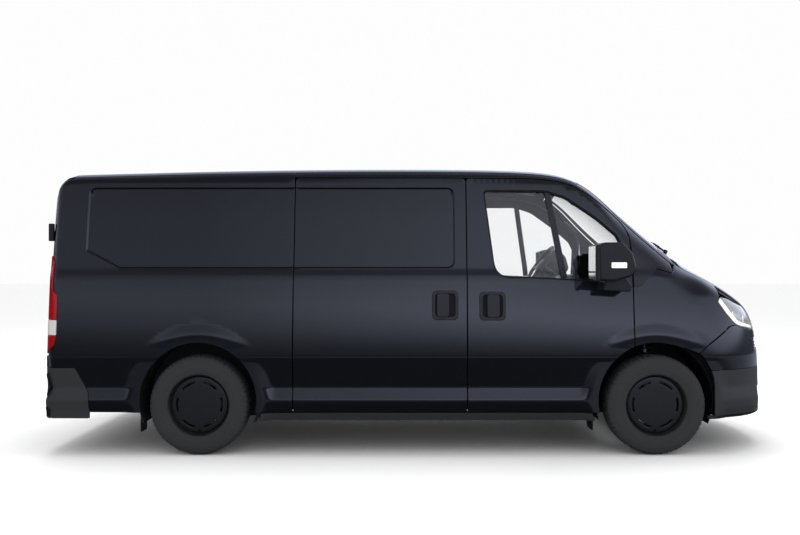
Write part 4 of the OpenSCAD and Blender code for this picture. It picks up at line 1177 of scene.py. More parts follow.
def tyreMesh(name):
    h, r, rim = wheel["width"] / 2, wheel["radius"], wheel["rimRadius"]
    outline = [(rim - 0.001, -h + 0.02), (rim + 0.004, -h + 0.0125), (rim + 0.012, -h + 0.0105),
               (rim + 0.02, -h + 0.007),
               (rim + 0.03, -h + 0.004), (rim + 0.034, -h + 0.0035), (rim + 0.036, -h + 0.0015),
               (rim + 0.052, -h + 0.0008),
               (rim + 0.054, -h + 0.0002), (r - 0.05, -h + 0.0002), (r - 0.047, -h + 0.0025), (r - 0.034, -h + 0.005),
               (r - 0.022, -h + 0.0095), (r - 0.013, -h + 0.016), (r - 0.007, -h + 0.024), (r - 0.0035, -h + 0.034)]
    tread = []
    for y in np.linspace(-h + 0.038, 0, 12):
        tread.append((r - 0.0028 * (abs(y) / (h - 0.03)) ** 2, float(y)))
    outline = outline + tread
    outline += [(a, -b) for a, b in outline[::-1][1:]]
    grooves = [-0.052, -0.018, 0.018, 0.052]
    ys = sorted(set([b for _, b in tread] + [-b for _, b in tread] +
                    [g + d for g in grooves for d in (-0.005, -0.0042, 0.0042, 0.005)]))
    left = outline[:16]
    mid = []
    for y in ys:
        rr = r - 0.0028 * (abs(y) / (h - 0.03)) ** 2
        if any(abs(y - g) < 0.0046 for g in grooves):
            rr -= 0.007
        mid.append((rr, y))
    right = [(a, -b) for a, b in left[::-1]]
    line = left + mid + right
    steps = 360
    n = len(line)
    verts, faces = [], []
    for k in range(steps):
        for a, b in line:
            angle = 2 * math.pi * (k + (0.8 if b > 0 else 0) + 3.0 * abs(b) / h) / steps
            rr = a
            if abs(b) > 0.056 and a > r - 0.03 and k % 6 == 0:
                rr -= 0.005
            elif abs(b) < 0.056 and k % 8 == 0 and a > r - 0.004:
                rr -= 0.004
            verts.append((math.sin(angle) * rr, b, math.cos(angle) * rr))
    for k in range(steps):
        c = ((k + 1) % steps) * n
        for i in range(n):
            j = (i + 1) % n
            faces.append((k * n + i, k * n + j, c + j, c + i))
    obj = meshObject(name, verts, faces, tyreRubber)
    bm = bmesh.new()
    bm.from_mesh(obj.data)
    bmesh.ops.recalc_face_normals(bm, faces=bm.faces)
    bm.to_mesh(obj.data)
    bm.free()
    weigh(obj, 35)
    return obj


def wheelPieces(tag):
    h, rim, face = wheel["width"] / 2, wheel["rimRadius"], wheel["face"]
    barrel = lathe("rim_barrel_" + tag, [(rim + 0.0115, -h + 0.012), (rim + 0.0125, -h + 0.016),
                                         (rim + 0.0115, -h + 0.02),
                                         (rim - 0.002, -h + 0.026), (rim - 0.004, -h + 0.04), (rim - 0.022, -h + 0.06),
                                         (rim - 0.022, h - 0.07), (rim - 0.004, h - 0.05), (rim - 0.002, h - 0.026),
                                         (rim + 0.0115, h - 0.02), (rim + 0.0125, h - 0.016), (rim + 0.0115, h - 0.012),
                                         (rim + 0.003, h - 0.0125), (rim - 0.006, h - 0.024), (rim - 0.009, h - 0.05),
                                         (rim - 0.027, h - 0.07), (rim - 0.027, -h + 0.06), (rim - 0.008, -h + 0.038),
                                         (rim - 0.006, -h + 0.02), (rim + 0.002, -h + 0.0125)],
                   (0, 0, 0), (0, -1, 0), wheelEnamel, 96)
    slots = [(30 + 60 * i, 18, 0.1435, 0.1565) for i in range(6)] + [(180, 2.6, 0.166, 0.182)]
    cap = polarPlate("hub_cap_" + tag, [0.001, 0.03, 0.06, 0.1, 0.125, 0.138, 0.1436, 0.15, 0.1564, 0.163, 0.166, 0.174,
                                        0.182, 0.186, 0.19, 0.1935],
                     [face + 0.0105, face + 0.0103, face + 0.0098, face + 0.009, face + 0.0085, face + 0.0082,
                      face + 0.0078,
                      face + 0.0075, face + 0.0072, face + 0.0068, face + 0.0066, face + 0.006, face + 0.005,
                      face + 0.003,
                      face - 0.002, face - 0.008], smoothAbs, slots)
    disc = polarPlate("wheel_disc_" + tag, [0.033, 0.06, 0.085, 0.1, 0.12, 0.15, 0.17, 0.178],
                      [0.03, 0.03, 0.034, 0.038, 0.038, 0.034, 0.03, 0.022], wheelEnamel,
                      [(36 * i, 8, 0.12, 0.15) for i in range(10)], thick=0.006)
    valve = rod("valve_" + tag, [(0, -0.04, -0.186), (0, -face - 0.006, -0.176), (0, -face - 0.02, -0.174)], 0.004,
                blackRubberAndSlotShade, 12)
    bolts = []
    for i in range(5):
        a = math.radians(72 * i)
        bolts.append(lathe("bolt_%s_%d" % (tag, i), [(0.0, 0.0), (0.011, 0.0), (0.011, 0.012), (0.0, 0.014)],
                           (math.sin(a) * 0.06, -0.033, math.cos(a) * 0.06), (0, -1, 0), platedSteel, 6))
    return [join("wheel_rim_" + tag, [barrel, cap, disc, valve]), join("wheel_bolts_" + tag, bolts)]


for end, axle in (("front", frontAxle), ("rear", rearAxle)):
    for side in ("right", "left"):
        tag = end + "_" + side
        pieces = wheelPieces(tag) + [tyreMesh("tyre_tread_" + tag)]
        turn = Matrix.Translation((axle, (-1 if side == "right" else 1) * body["wheelY"], tyreRadius))
        if side == "left":
            turn = turn @ Matrix.Rotation(math.pi, 4, "Z")
        for piece in pieces:
            piece.data.transform(turn)
            isTyre = piece.name.startswith("tyre")
            place(piece, "wheel_" + tag, "tyre" if isTyre else "wheel_black",
                  ["tyre_" + tag] if isTyre else (["wheel_" + tag] if "rim" in piece.name else ()))
print("wheels done")

# Headlamps: lens, dark bowl, two reflectors and the white guide along the lower edge, whose white is a painted glow
def headlamp(side, flip):
    name = "headlamp_" + side
    lens = panel(name + "_lens", sidePoint, lampOutline, lampLens, cols=0.025, rows=0.025, thick=0.003, radius=0.001,
                 sunk=0.0005, flip=flip)
    rim = panel(name + "_rim", sidePoint, offsetLoop(resample(lampOutline, 0.012), 0.001), satinSilver,
                holes=[offsetLoop(resample(lampOutline, 0.012), 0.007)], cols=0.5, rows=0.5, thick=0.05, radius=0.001,
                sunk=0.004, flip=flip)
    bowl = panel(name + "_bowl", sidePoint, offsetLoop(resample(lampOutline, 0.012), 0.001), satinSilver, cols=0.03,
                 rows=0.03, thick=0.004, radius=0.001, sunk=0.054, flip=flip)
    low = np.array(lampLow[:5])
    strip = [tuple(p) for p in low + [0.017, 0.013]] + [tuple(p) for p in (low + [0.026, 0.024])[::-1]]
    guide = panel(name + "_guide", sidePoint, strip, opalGuidePaintedGlow, cols=0.5, rows=0.5, thick=0.016, radius=0.002,
                  sunk=0.008,
                  flip=flip, step=0.01)
    units = []
    for i, (x, z) in enumerate([(noseX - 0.38, 0.925), (noseX - 0.27, 0.898)]):
        c = onSide(x, z, -0.044)
        if flip:
            c.y = -c.y
        axis = (1, -0.55 if not flip else 0.55, 0.05)
        units.append(lathe("%s_unit_%d" % (name, i), [(0.0, -0.006), (0.031, -0.006), (0.036, 0.012), (0.033, 0.013),
                                                      (0.028, 0.002), (0.0, 0.002)], c, axis, metallisedReflector, 48))
    place(lens, "body", "glass", ["headlamps"] if side == "right" else ())
    place(join(name + "_housing", [bowl, rim]), "body", "lamp")
    place(guide, "body", "lamp")
    place(join(name + "_reflectors", units), "body", "lamp")


headlamp("right", False)
headlamp("left", True)

# Tail lamps around the rear corners, and the black hinges beside them
for side, flip in (("right", False), ("left", True)):
    inner = tailStart - 0.087
    low = [(inner, 0.671), (tailX + 0.043, 0.671), (tailX + 0.117, 0.734), (tailX + 0.129, 0.797), (inner, 0.797)]
    clear = [(inner, 0.8), (tailX + 0.129, 0.8), (tailX + 0.129, 0.9), (inner, 0.9)]
    high = [(inner, 0.903), (tailX + 0.129, 0.903), (tailX + 0.129, 1.06), (tailX + 0.0935, 1.105),
            (tailX + 0.0915, 1.294), (tailX + 0.068, 1.328), (inner, 1.328)]
    red = [panel("tail_lamp_part", sidePoint, rounded(p, 0.004), redAcrylic, cols=0.006, rows=0.04, thick=0.012,
                 radius=0.003, sunk=-0.009, flip=flip) for p in (low, high)]
    place(join("tail_lamp_" + side, red), "body", "lamp_red", ["tail_lamps"] if side == "right" else ())
    place(panel("reversing_lamp_" + side, sidePoint, rounded(clear, 0.003), clearAcrylic, cols=0.006, rows=0.03,
                thick=0.012,
                radius=0.003, sunk=-0.009, flip=flip), "body", "lamp")
    s = -1 if side == "right" else 1
    hinges = [block("rear_hinge_part", (tailX + 0.024, s * 0.80, z0),
                    (tailX + 0.058, s * (0.862 - 0.03 * (z0 > 1)), z1),
                    smoothAbs, 0.006, 3) for z0, z1 in ((0.575, 0.655), (1.43, 1.55))]
    place(join("rear_hinges_" + side, hinges), "body", "plastic")
grip = block("rear_handle", (tailX + 0.001, -0.1, 0.905), (tailX + 0.03, -0.02, 0.985), smoothAbs, 0.006, 3)
place(grip, "rear_door_right", "plastic")
place(block("rear_plate", (tailX + 0.010, 0.06, 0.6), (tailX + 0.0185, 0.58, 0.71), blankPlate, 0.002),
      "rear_door_left", "plastic")
place(block("rear_plate_lamp", (tailX + 0.004, 0.08, 0.718), (tailX + 0.03, 0.56, 0.748), smoothAbs, 0.006, 3),
      "rear_door_left", "plastic")
place(block("front_plate", (noseX - 0.008, -0.26, 0.455), (noseX + 0.002, 0.26, 0.565), blankPlate, 0.002), "body",
      "plastic")

# Grille and lower intake: bars in front of a dark back
grille = [panel("grille_back", nosePoint, offsetLoop(resample(grilleSlot, 0.02), -0.004), blackRubberAndSlotShade, cols=0.05,
                rows=0.05,
                thick=0.003, radius=0.001, sunk=0.04)]
for z in (0.7, 0.724, 0.748):
    grille.append(panel("grille_bar", nosePoint, [(-0.286, z - 0.006), (0.286, z - 0.006), (0.286, z + 0.006),
                                                  (-0.286, z + 0.006)],
                        smoothAbs, cols=0.03, rows=0.5, thick=0.03, radius=0.002, sunk=0.006))
for z in (0.358, 0.378, 0.398):
    grille.append(panel("intake_bar", nosePoint, [(-0.234, z - 0.004), (0.234, z - 0.004), (0.234, z + 0.004),
                                                  (-0.234, z + 0.004)],
                        smoothAbs, cols=0.03, rows=0.5, thick=0.02, radius=0.002, sunk=0.01))
grille.append(panel("intake_back", nosePoint, offsetLoop(resample(lowerIntake, 0.02), -0.004), blackRubberAndSlotShade, cols=0.05,
                    rows=0.05, thick=0.003, radius=0.001, sunk=0.04))
place(join("grille", grille), "body", "plastic")
lip = panel("front_lip", nosePoint, [(-0.62, 0.238), (0.62, 0.238), (0.62, 0.262), (-0.62, 0.262)], smoothAbs,
            cols=0.03,
            rows=0.5, thick=0.03, radius=0.003, sunk=-0.003)
place(lip, "body", "plastic")


# Wipers parked along the foot of the windscreen
def overScreen(x, y, out):
    p = topPoint(np.array([x]), np.array([y]))[0]
    return Vector((p[0] + out * 0.45, p[1], p[2] + out))


for side, y0 in (("right", -0.52), ("left", 0.12)):
    arm = [overScreen(screenFoot + 0.012, y0 + 0.02, 0.012), overScreen(screenFoot - 0.03, y0 + 0.16, 0.022),
           overScreen(screenFoot - 0.055, y0 + 0.34, 0.02)]
    blade = [overScreen(screenFoot - 0.034 - 0.03 * t * (1 - t) * 4, y0 + 0.02 + 0.6 * t, 0.012)
             for t in np.linspace(0, 1, 9)]
    hub = lathe("wiper_hub", [(0, -0.02), (0.014, -0.02), (0.014, 0.014), (0, 0.018)], arm[0], (0.4, 0, 1), smoothAbs,
                24)
    place(join("wiper_" + side, [rod("wiper_arm", arm, 0.007, smoothAbs),
                                 rod("wiper_blade", blade, 0.006, blackRubberAndSlotShade, 10), hub]),
          "body", "plastic")
print("lamps and trim done")


# Cab and load space

bulkX = doorRear - 0.09
floorTop, cabFloor = 0.545, 0.5
houseY = 0.64
lo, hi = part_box("floor")


def roomY(z, out=0.059):
    return float(halfY(bulkX, z)) - out


boards = [block("board", (tailX + 0.1, -0.895, floorTop - 0.02), (rearAxle - 0.405, 0.895, floorTop), cargoPly, 0.003),
          block("board", (rearAxle - 0.404, -0.625, floorTop - 0.02), (rearAxle + 0.404, 0.625, floorTop), cargoPly,
                0.003),
          block("board", (rearAxle + 0.405, -0.895, floorTop - 0.02), (bulkX + 0.018, 0.895, floorTop), cargoPly,
                0.003)]
place(join("load_floor_board", boards), "body", "steel_grey", ["floor"])
place(block("cab_floor_felt", (bulkX + 0.022, -0.85, cabFloor - 0.022), (hi[0] - 0.002, 0.85, cabFloor), cabFelt,
            0.006), "body", "fabric")


def archStrip(name, axle, radius, thick, y0, y1, start, end, material):
    n = 40
    outer = [(axle + math.cos(a) * radius, archZ + math.sin(a) * radius)
             for a in np.radians(np.linspace(start, end, n))]
    inner = [(axle + math.cos(a) * (radius - thick), archZ + math.sin(a) * (radius - thick))
             for a in np.radians(np.linspace(end, start, n))]
    return prism(name, outer + inner, "y", y0, y1, material, 0)


for side, s in (("right", -1), ("left", 1)):
    house = [archStrip("house", rearAxle, archRadius + 0.012, 0.006, s * houseY, s * 0.955, -22, 202, cavityPrimer),
             prism("house_wall", [(rearAxle + math.cos(a) * (archRadius + 0.008),
                                   archZ + math.sin(a) * (archRadius + 0.008))
                                  for a in np.radians(np.linspace(-22, 202, 40))], "y", s * houseY,
                   s * (houseY + 0.006), cavityPrimer, 0)]
    for i in range(9):
        a = 12 + 19.5 * i
        house.append(archStrip("rib", rearAxle, archRadius + 0.006, 0.006, s * 0.66, s * 0.895, a - 1.2, a + 1.2,
                               cavityPrimer))
    place(join("rear_wheelhouse_" + side, house), "body", "steel_dark", ["wheelhouses"] if side == "right" else ())
    liner = [archStrip("liner", frontAxle, archRadius + 0.01, 0.004, s * 0.56, s * 0.9, -24, 200, blackRubberAndSlotShade),
             prism("liner_wall", [(frontAxle + math.cos(a) * (archRadius + 0.006),
                                   archZ + math.sin(a) * (archRadius + 0.006))
                                  for a in np.radians(np.linspace(-24, 200, 40))], "y", s * 0.556, s * 0.562,
                   blackRubberAndSlotShade, 0)]
    liner.append(archStrip("liner_flange", frontAxle, archRadius + 0.112, 0.108, s * 0.86, s * 0.866, -15, 60,
                           blackRubberAndSlotShade))
    place(join("front_wheel_liner_" + side, liner), "body", "steel_dark")
    coil = [Vector((frontAxle + 0.05 * math.cos(t), s * 0.662 + 0.05 * math.sin(t), 0.6 + 0.17 * t / 31.4))
            for t in np.linspace(0, 31.4, 120)]
    strut = [lathe("damper", [(0, 0), (0.026, 0), (0.026, 0.2), (0.014, 0.2), (0.014, 0.29), (0, 0.29)],
                   (frontAxle, s * 0.662, 0.5), (0, 0, 1), platedSteel, 24), rod("coil", coil, 0.007, smoothAbs, 8)]
    place(join("front_strut_" + side, strut), "body", "steel_dark")
    flaps = [prism("flap", rounded([(-0.884, 0.139), (-0.75, 0.139), (-0.75, 0.35), (-0.884, 0.35)], 0.02), "x",
                   rearAxle - archRadius - 0.02, rearAxle - archRadius - 0.013, blackRubberAndSlotShade, 0.001),
             prism("flap", rounded([(-0.86, 0.146), (-0.69, 0.146), (-0.69, 0.27), (-0.86, 0.27)], 0.02), "x",
                   frontAxle - archRadius - 0.02, frontAxle - archRadius - 0.013, blackRubberAndSlotShade, 0.001)]
    flap = join("mud_flaps_" + side, flaps)
    if s > 0:
        flap.data.transform(Matrix.Diagonal((1, -1, 1, 1)))
        flap.data.flip_normals()
    place(flap, "body", "plastic", ["mud_flaps"] if side == "right" else ())
    # Inner walls behind the gaps of the doors
    inner = [panel("inner_wall", sidePoint, [(x0, z0), (x1, z0), (x1, z1), (x0, z1)], cavityPrimer, cols=0.1, rows=0.08,
                   thick=0.004, radius=0.001, sunk=0.064, flip=s > 0, step=0.06)
             for x0, x1, z0, z1 in ((rearAxle + 0.4, doorRear + 0.1, 0.262, 0.6),
                                    (rearAxle - 0.7, doorRear + 0.1, 0.82, doorTop - 0.02),
                                    (doorRear + 0.09, frontAxle - 0.42, 0.262, 0.47),
                                    (rearAxle + 0.5, doorRear + 0.1, 0.59, 0.83))]
    place(join("inner_wall_" + side, inner), "body", "steel_grey")
    # Door trim
    outline = [(doorRear + 0.02, doorBottom + 0.02), (frontAxle - archRadius, doorBottom + 0.02),
               (frontAxle - archRadius + 0.02, 0.5), (frontAxle - archRadius + 0.12, 0.68),
               (doorFront - 0.09, 0.78), (doorFront - 0.09, windowLow - 0.03), (doorRear + 0.02, windowLow - 0.03)]
    trim = panel("door_trim_" + side, sidePoint, rounded(outline, 0.02), grainedPolypropylene, cols=0.06, rows=0.06,
                 thick=0.012, radius=0.003, sunk=0.04, flip=s > 0)
    rest = block("arm_rest", (doorRear + 0.22, s * 0.868, 0.93), (doorRear + 0.62, s * 0.85, 0.985), smoothAbs, 0.008,
                 3)
    place(join("door_trim_" + side, [trim, rest]), "front_door_" + side, "plastic")

heights = [floorTop + 0.002, wCrease, wWaist - 0.01, wWaist + 0.045, body["roof"] - 0.172, doorTop]
half = [(-roomY(z), z) for z in heights[:-1]] + [(-roomY(doorTop) + 0.03, doorTop),
                                                 (-roomY(doorTop) + 0.11, doorTop + 0.012)]
wall = prism("wall", half + [(-y, z) for y, z in half[::-1]], "x", bulkX - 0.03, bulkX - 0.008, cavityPrimer, 0.002)
ribs = [block("rib", (bulkX - 0.007, -0.62, z), (bulkX - 0.0055, 0.62, z + 0.05), cavityPrimer, 0.0006)
        for z in (0.75, 0.95, 1.15)]
place(join("bulkhead_wall", [wall] + ribs), "body", "steel_dark", ["bulkhead"])
posts = []
for s in (-1, 1):
    hs = heights[:4] + [doorTop - 0.05]
    pts = [(s * (roomY(z) + 0.001), z) for z in hs] + [(s * (roomY(z) - 0.055), z) for z in hs[::-1]]
    posts.append(prism("post", pts, "x", bulkX + 0.006, bulkX + 0.062, paleLining, 0.004))
posts.append(prism("firewall", [(-0.55, cabFloor + 0.002), (-0.55, 0.74), (-0.83, 0.765), (-0.83, 1.15), (0.83, 1.15),
                                (0.83, 0.765),
                                (0.55, 0.74), (0.55, cabFloor + 0.002)], "x", doorFront - 0.06, doorFront - 0.05,
                   cabFelt, 0.001))
place(join("cab_posts", posts), "body", "steel_dark", ["pillars"])

dashX = noseX - 1.42
dash = prism("dash", rounded([(dashX + 0.002, 0.885), (dashX + 0.06, 0.855), (doorFront - 0.078, 0.78),
                              (doorFront - 0.078, 1.135),
                              (dashX + 0.2, 1.145), (dashX + 0.08, 1.112), (dashX + 0.002, 1.048)],
                             [0.02, 0.04, 0.01, 0.01, 0.06, 0.03, 0.025]), "y", -0.8, 0.8, grainedPolypropylene,
             0.012, 3)
hood = prism("hood", rounded([(dashX + 0.07, 1.1), (dashX + 0.2, 1.12), (dashX + 0.19, 1.2), (dashX + 0.09, 1.185)],
                             0.015), "y",
             0.26, 0.58, smoothAbs, 0.01, 3)
screen = block("screen", (dashX - 0.004, -0.12, 0.95), (dashX + 0.01, 0.12, 1.045), smoothAbs, 0.004, 3)
vents = [block("vent", (dashX - 0.003, y - 0.05, 0.96), (dashX + 0.01, y + 0.05, 1.03), blackRubberAndSlotShade, 0.006, 3)
         for y in (-0.7, -0.19, 0.19, 0.7)]
place(join("dashboard_panel", [dash, hood, screen] + vents), "body", "plastic", ["dashboard"])
lever = rod("gear_lever", [(dashX - 0.005, 0.06, 0.9), (dashX - 0.05, 0.06, 0.96)], 0.012, smoothAbs)
place(lever, "body", "plastic")

# Steering wheel
steering = {"tilt": math.radians(36), "radius": 0.178, "grip": 0.0145, "spokes": (100, 260, 180)}
hub = Vector((noseX - 1.485, 0.42, 1.27))
axis = Vector((math.cos(steering["tilt"]), 0, -math.sin(steering["tilt"])))
ring = [(steering["radius"] + steering["grip"] * math.cos(t), steering["grip"] * math.sin(t))
        for t in np.linspace(0, 2 * math.pi, 17)[:-1]]
parts = [lathe("rim", ring, hub, axis, smoothAbs, 72),
         lathe("boss", [(0, -0.012), (0.05, -0.008), (0.062, 0.004), (0.06, 0.03), (0.03, 0.05), (0, 0.05)], hub,
               axis, smoothAbs, 48),
         rod("column", [hub + axis * 0.03, hub + axis * 0.16], 0.024, smoothAbs, 24)]
up = Vector((math.sin(steering["tilt"]), 0, math.cos(steering["tilt"])))
across = Vector((0, 1, 0))
for a in steering["spokes"]:
    d = up * math.cos(math.radians(a)) + across * math.sin(math.radians(a))
    parts.append(rod("spoke", [hub + d * 0.045 + axis * 0.012, hub + d * 0.11 + axis * 0.012, hub + d * 0.17], 0.011,
                     smoothAbs, 12))
place(join("steering_wheel_rim", parts), "body", "plastic", ["steering_wheel"])
mirror = block("cab_mirror", (noseX - 1.29, -0.12, doorTop - 0.12), (noseX - 1.27, 0.12, doorTop - 0.06), smoothAbs,
               0.008, 3)
place(join("cab_mirror", [mirror, rod("stem", [(noseX - 1.275, 0, doorTop - 0.08), (noseX - 1.24, 0, doorTop - 0.05)],
                                      0.008, smoothAbs)]),
      "body", "plastic")

# Headlining under the roof
lining = panel("headlining", topPoint, [(noseX - 1.5, -0.62), (noseX - 1.5, 0.62), (bulkX + 0.03, 0.7),
                                        (bulkX + 0.03, -0.7)],
               paleLining, cols=0.06, rows=0.08, thick=0.006, radius=0.002, sunk=0.036)
place(lining, "body", "fabric")
print("cab done")


# Seats: cushions and backrests of cloth over foam, blown up a little as they are sewn
seatX = bulkX + 0.035
padding = {"width": 0.48, "voxel": 0.012, "pressure": 4, "frames": 20, "swell": 0.012}
cushionShape = [(0.075, 0.762), (0.555, 0.79), (0.57, 0.832), (0.545, 0.868), (0.125, 0.842)]
backShape = [(0.075, 0.79), (0.18, 0.805), (0.12, 1.375), (0.09, 1.388), (0.035, 1.38), (0.022, 1.345)]


def puffed(name, outline, width):
    # One pad, rounded at its edges, with its cloth swollen by the foam
    pts = [(seatX + x, z) for x, z in outline]
    pad = prism(name, rounded(pts, 0.018, 4), "y", 0.012 - width / 2, width / 2 - 0.012, seatCloth, 0.016, 3)
    remesh = pad.modifiers.new("remesh", "REMESH")
    remesh.mode, remesh.voxel_size = "VOXEL", padding["voxel"]
    settle(pad)
    start = np.array([v.co for v in pad.data.vertices])
    cloth = pad.modifiers.new("cloth", "CLOTH")
    cloth.settings.use_pressure = True
    cloth.settings.uniform_pressure_force = padding["pressure"]
    cloth.settings.effector_weights.gravity = 0
    cloth.settings.quality = 4
    cloth.point_cache.frame_start, cloth.point_cache.frame_end = 1, padding["frames"]
    scene = bpy.context.scene
    for frameNumber in range(1, padding["frames"] + 1):
        scene.frame_set(frameNumber)
    settle(pad)
    scene.frame_set(1)
    now = np.array([v.co for v in pad.data.vertices])
    move = now - start
    size = np.linalg.norm(move, axis=1, keepdims=True)
    move *= np.minimum(1, padding["swell"] / np.maximum(size, 1e-9))
    for v, p in zip(pad.data.vertices, start + move):
        v.co = p
    pad.data.update()
    for p in pad.data.polygons:
        p.use_smooth = True
    sub = pad.modifiers.new("sub", "SUBSURF")
    sub.levels = 1
    settle(pad)
    return pad


cushion, back = [puffed(kind, shape, padding["width"]) for kind,
                 shape in (("cushion", cushionShape), ("back", backShape))]
for tag, y, width in (("driver", 0.42, 0.5), ("middle", -0.07, 0.44), ("outer", -0.525, 0.44)):
    for base, kind in ((cushion, "cushion"), (back, "back")):
        pad = bpy.data.objects.new("seat_%s_%s" % (kind, tag), base.data.copy())
        bpy.context.scene.collection.objects.link(pad)
        pad.data.transform(Matrix.Translation((0, y, 0)) @ Matrix.Diagonal((1, (width - 0.024) / padding["width"], 1,
                                                                            1)))
        place(pad, "body", "fabric", ["seats"] if tag == "driver" and kind == "cushion" else ())
    headrest = prism("headrest", rounded([(seatX + 0.025, 1.405), (seatX + 0.095, 1.405), (seatX + 0.09, 1.575),
                                          (seatX + 0.04, 1.58)], 0.025),
                     "y", y - 0.115, y + 0.115, seatCloth, 0.018, 4)
    frameParts = [block("seat_box", (seatX + 0.07, y - width / 2 + 0.03, cabFloor + 0.003),
                        (seatX + 0.47, y + width / 2 - 0.03, 0.755),
                        grainedPolypropylene, 0.01, 2)]
    frameParts += [rod("headrest_rod", [(seatX + 0.062, y + d, 1.36), (seatX + 0.062, y + d, 1.42)], 0.006,
                       platedSteel, 10) for d in (-0.06, 0.06)]
    place(headrest, "body", "fabric")
    place(join("seat_base_" + tag, frameParts), "body", "plastic")
for spare in (cushion, back):
    bpy.data.objects.remove(spare)
print("seats done")


# Underbody and running gear: opposite corners, with x from the axle named in the code
underbody = {
    "engine": ((-0.118, -0.298, 0.432), (0.308, 0.338, 0.8)), "engineCover": ((-0.08, -0.2, 0.8), (0.27, 0.28, 0.858)),
    "battery": ((0.03, 0.37, 0.66), (0.27, 0.53, 0.84)), "subframe": ((-0.108, -0.418, 0.242), (0.108, 0.418, 0.298)),
    "tank": ((0.702, -0.398, 0.272), (1.318, 0.378, 0.378)), "silencer": ((1.402, -0.198, 0.287),
                                                                          (2.018, 0.058, 0.373)),
}


def axleBlock(name, axle, key, material, *edge):
    low, high = underbody[key]
    return block(name, (axle + low[0], *low[1:]), (axle + high[0], *high[1:]), material, *edge)


railZ = cabFloor - 0.027
rails = []
for s in (-1, 1):
    rails.append(block("rail", (tailX + 0.1, s * 0.446, railZ - 0.1), (noseX - 0.23, s * 0.514, railZ), cavityPrimer,
                       0.006))
for x in (tailX + 0.11, rearAxle + 0.52, frontAxle - 0.9, noseX - 0.29):
    rails.append(block("member", (x, -0.447, railZ - 0.08), (x + 0.06, 0.447, railZ - 0.02), cavityPrimer, 0.006))
place(join("frame_rails", rails), "body", "steel_dark", ["chassis_rails"])
engineParts = [axleBlock("block", frontAxle, "engine", castIron, 0.02, 3),
               axleBlock("cover", frontAxle, "engineCover", smoothAbs, 0.02, 3)]
place(join("engine_block", engineParts), "body", "cast", ["engine"])
place(axleBlock("battery", frontAxle, "battery", smoothAbs, 0.006), "body", "plastic")
sub = [axleBlock("sub", frontAxle, "subframe", cavityPrimer, 0.015, 3)]
for s in (-1, 1):
    sub += [rod("arm", [(frontAxle + x, s * 0.4, 0.27), (frontAxle, s * 0.67, 0.265)], 0.019, castIron, 16)
            for x in (-0.05, 0.08)]
    sub.append(block("mount", (frontAxle - 0.088, s * 0.57, 0.792), (frontAxle + 0.088, s * 0.69, 0.828),
                     cavityPrimer, 0.01))
place(join("front_suspension", sub), "body", "steel_dark", ["front_subframe"])
rear = [rod("beam", [(rearAxle, -0.59, tyreRadius), (rearAxle, 0.59, tyreRadius)], 0.037, castIron, 32)]
for s in (-1, 1):
    rear.append(rod("stub", [(rearAxle, s * 0.585, tyreRadius), (rearAxle, s * 0.845, tyreRadius)], 0.033, castIron,
                    32))
    rear.append(lathe("drum", [(0.034, 0), (0.125, 0), (0.125, 0.012), (0.034, 0.012)],
                      (rearAxle, s * 0.775, tyreRadius),
                      (0, s, 0), castIron, 64))
place(join("rear_axle_beam", rear), "body", "steel_dark", ["rear_axle"])
leaves = []
for s in (-1, 1):
    for i in range(2):
        leaves.append(block("leaf", (rearAxle - 0.555 + 0.09 * i, s * 0.452, tyreRadius - 0.055 - 0.011 * i),
                            (rearAxle + 0.555 - 0.09 * i, s * 0.508, tyreRadius - 0.047 - 0.011 * i), platedSteel,
                            0.002))
place(join("rear_leaf_springs", leaves), "body", "steel_dark", ["rear_springs"])
place(axleBlock("fuel_tank_shell", rearAxle, "tank", blackRubberAndSlotShade, 0.03, 4), "body", "plastic", ["fuel_tank"])
pipe = [axleBlock("silencer", rearAxle, "silencer", aluminisedSteel, 0.03, 4),
        rod("pipe", [(rearAxle + 2.0, -0.07, 0.33), (frontAxle - 0.285, -0.07, 0.33)], 0.027, aluminisedSteel, 24)]
place(join("exhaust_silencer", pipe), "body", "steel_grey", ["exhaust"])
for side, s in (("right", -1), ("left", 1)):
    z, x = tyreRadius, frontAxle
    king = s * (body["wheelY"] - 0.13)
    parts = [block("plate", (x - 0.034, s * 0.694, z - 0.114), (x + 0.034, s * 0.736, z + 0.114), castIron, 0.012, 3),
             rod("stub", [(x, s * 0.73, z), (x, s * 0.845, z)], 0.034, castIron, 32),
             block("caliper", (x - 0.135, s * 0.738, z - 0.06), (x - 0.075, s * 0.772, z + 0.06), castIron, 0.008)]
    place(join("knuckle_casting_" + side, parts), "knuckle_" + side, "cast", ["knuckle_" + side])
    disc = lathe("brake_disc_" + side, [(0.045, 0), (0.14, 0), (0.14, 0.022), (0.045, 0.022)], (x, s * 0.776, z),
                 (0, s, 0), platedSteel, 96)
    place(disc, "wheel_front_" + side, "steel_grey")
place(block("under_tray", (frontAxle + 0.3, -0.55, 0.245), (noseX - 0.12, 0.55, 0.256), smoothAbs, 0.004), "body",
      "plastic")
print("underbody done")

# Floor, lights and camera
studio = {
    "cameraX": -0.108, "cameraY": -6.8, "cameraZ": 1.2505, "lens": 36 * 877 / 800, "floor": "ffffff",
    # Brightness that gloss surfaces mirror, from straight down (0) over the horizon (0.5) to straight up (1)
    "levels": [(0.0, 0.0), (0.37, 0.0), (0.4, 0.2), (0.465, 0.2), (0.495, 0.02), (0.53, 0.03), (0.541, 0.16),
               (0.552, 0.66), (0.565, 1.0), (0.59, 0.8), (0.62, 0.62), (0.68, 0.55), (0.757, 0.46), (0.85, 0.13),
               (1.0, 0.05)],
    "lightAt": (0, 1.5, 7), "softBox": (9, 6), "watts": 500,
}


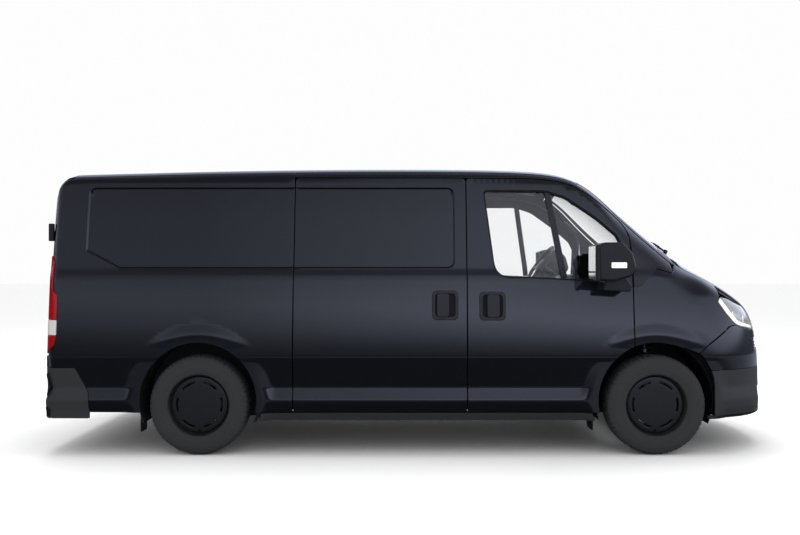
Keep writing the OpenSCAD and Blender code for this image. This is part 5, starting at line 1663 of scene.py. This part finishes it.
def setStage():
    floorSize = 60
    floor = meshObject("floor", [(-floorSize, -floorSize, 0), (floorSize, -floorSize, 0), (floorSize, floorSize, 0),
                                 (-floorSize, floorSize, 0)], [(0, 1, 2, 3)],
                       newMaterial("pale_floor", studio["floor"], 0.9),
                       smooth=False)
    floor.visible_glossy = False
    world = bpy.data.worlds.new("studio")
    bpy.context.scene.world = world
    world.use_nodes = True
    tree = world.node_tree
    tree.nodes.clear()
    where = addNode(world, "ShaderNodeTexCoord")
    split = addNode(world, "ShaderNodeSeparateXYZ", {0: where.outputs["Generated"]})
    height = addNode(world, "ShaderNodeMapRange", {0: split.outputs[2]}, From_Min=-1, From_Max=1, To_Min=0, To_Max=1)
    fade = addNode(world, "ShaderNodeValToRGB", {0: height.outputs[0]})
    stops = fade.color_ramp.elements
    levels = studio["levels"]
    for stop, (position, value) in ((stops[0], levels[0]), (stops[1], levels[-1])):
        stop.position, stop.color = position, (value, value, value, 1)
    for position, value in levels[1:-1]:
        stops.new(position).color = (value * 0.8, value * 0.87, value * 1.12, 1)
    # The studio is a little brighter towards the front
    across = addNode(world, "ShaderNodeMapRange", {0: split.outputs[0]}, From_Min=-0.225, From_Max=0.125, To_Min=0.82,
                     To_Max=1.85)
    glow = addNode(world, "ShaderNodeBackground", {0: fade.outputs[0], 1: across.outputs[0]})
    plain = addNode(world, "ShaderNodeBackground", Color=(0.985, 0.985, 0.985, 1))
    # Mirrored rays see the graded studio, and all others see plain white
    path = addNode(world, "ShaderNodeLightPath")
    mirrored = addNode(world, "ShaderNodeMath", {0: path.outputs["Is Glossy Ray"],
                                                 1: path.outputs["Is Transmission Ray"]},
                       operation="SUBTRACT", use_clamp=True)
    mix = addNode(world, "ShaderNodeMixShader", {0: mirrored.outputs[0], 1: plain.outputs[0], 2: glow.outputs[0]})
    addNode(world, "ShaderNodeOutputWorld", {0: mix.outputs[0]})

    soft = bpy.data.lights.new("overhead", "AREA")
    soft.shape, soft.size, soft.size_y, soft.energy = "RECTANGLE", *studio["softBox"], studio["watts"]
    overhead = bpy.data.objects.new("overhead", soft)
    overhead.location = studio["lightAt"]
    overhead.rotation_euler = (-Vector(studio["lightAt"])).to_track_quat("-Z", "Y").to_euler()
    overhead.visible_glossy = False
    bpy.context.scene.collection.objects.link(overhead)
    camera = bpy.data.cameras.new("camera")
    camera.lens = studio["lens"]
    camera.sensor_width = 36
    view = bpy.data.objects.new("camera", camera)
    view.location = (studio["cameraX"], studio["cameraY"], studio["cameraZ"])
    view.rotation_euler = (math.radians(90), 0, 0)
    bpy.context.scene.collection.objects.link(view)
    bpy.context.scene.camera = view
    bpy.context.scene.view_settings.view_transform = "Standard"


setStage()
print("stage done")
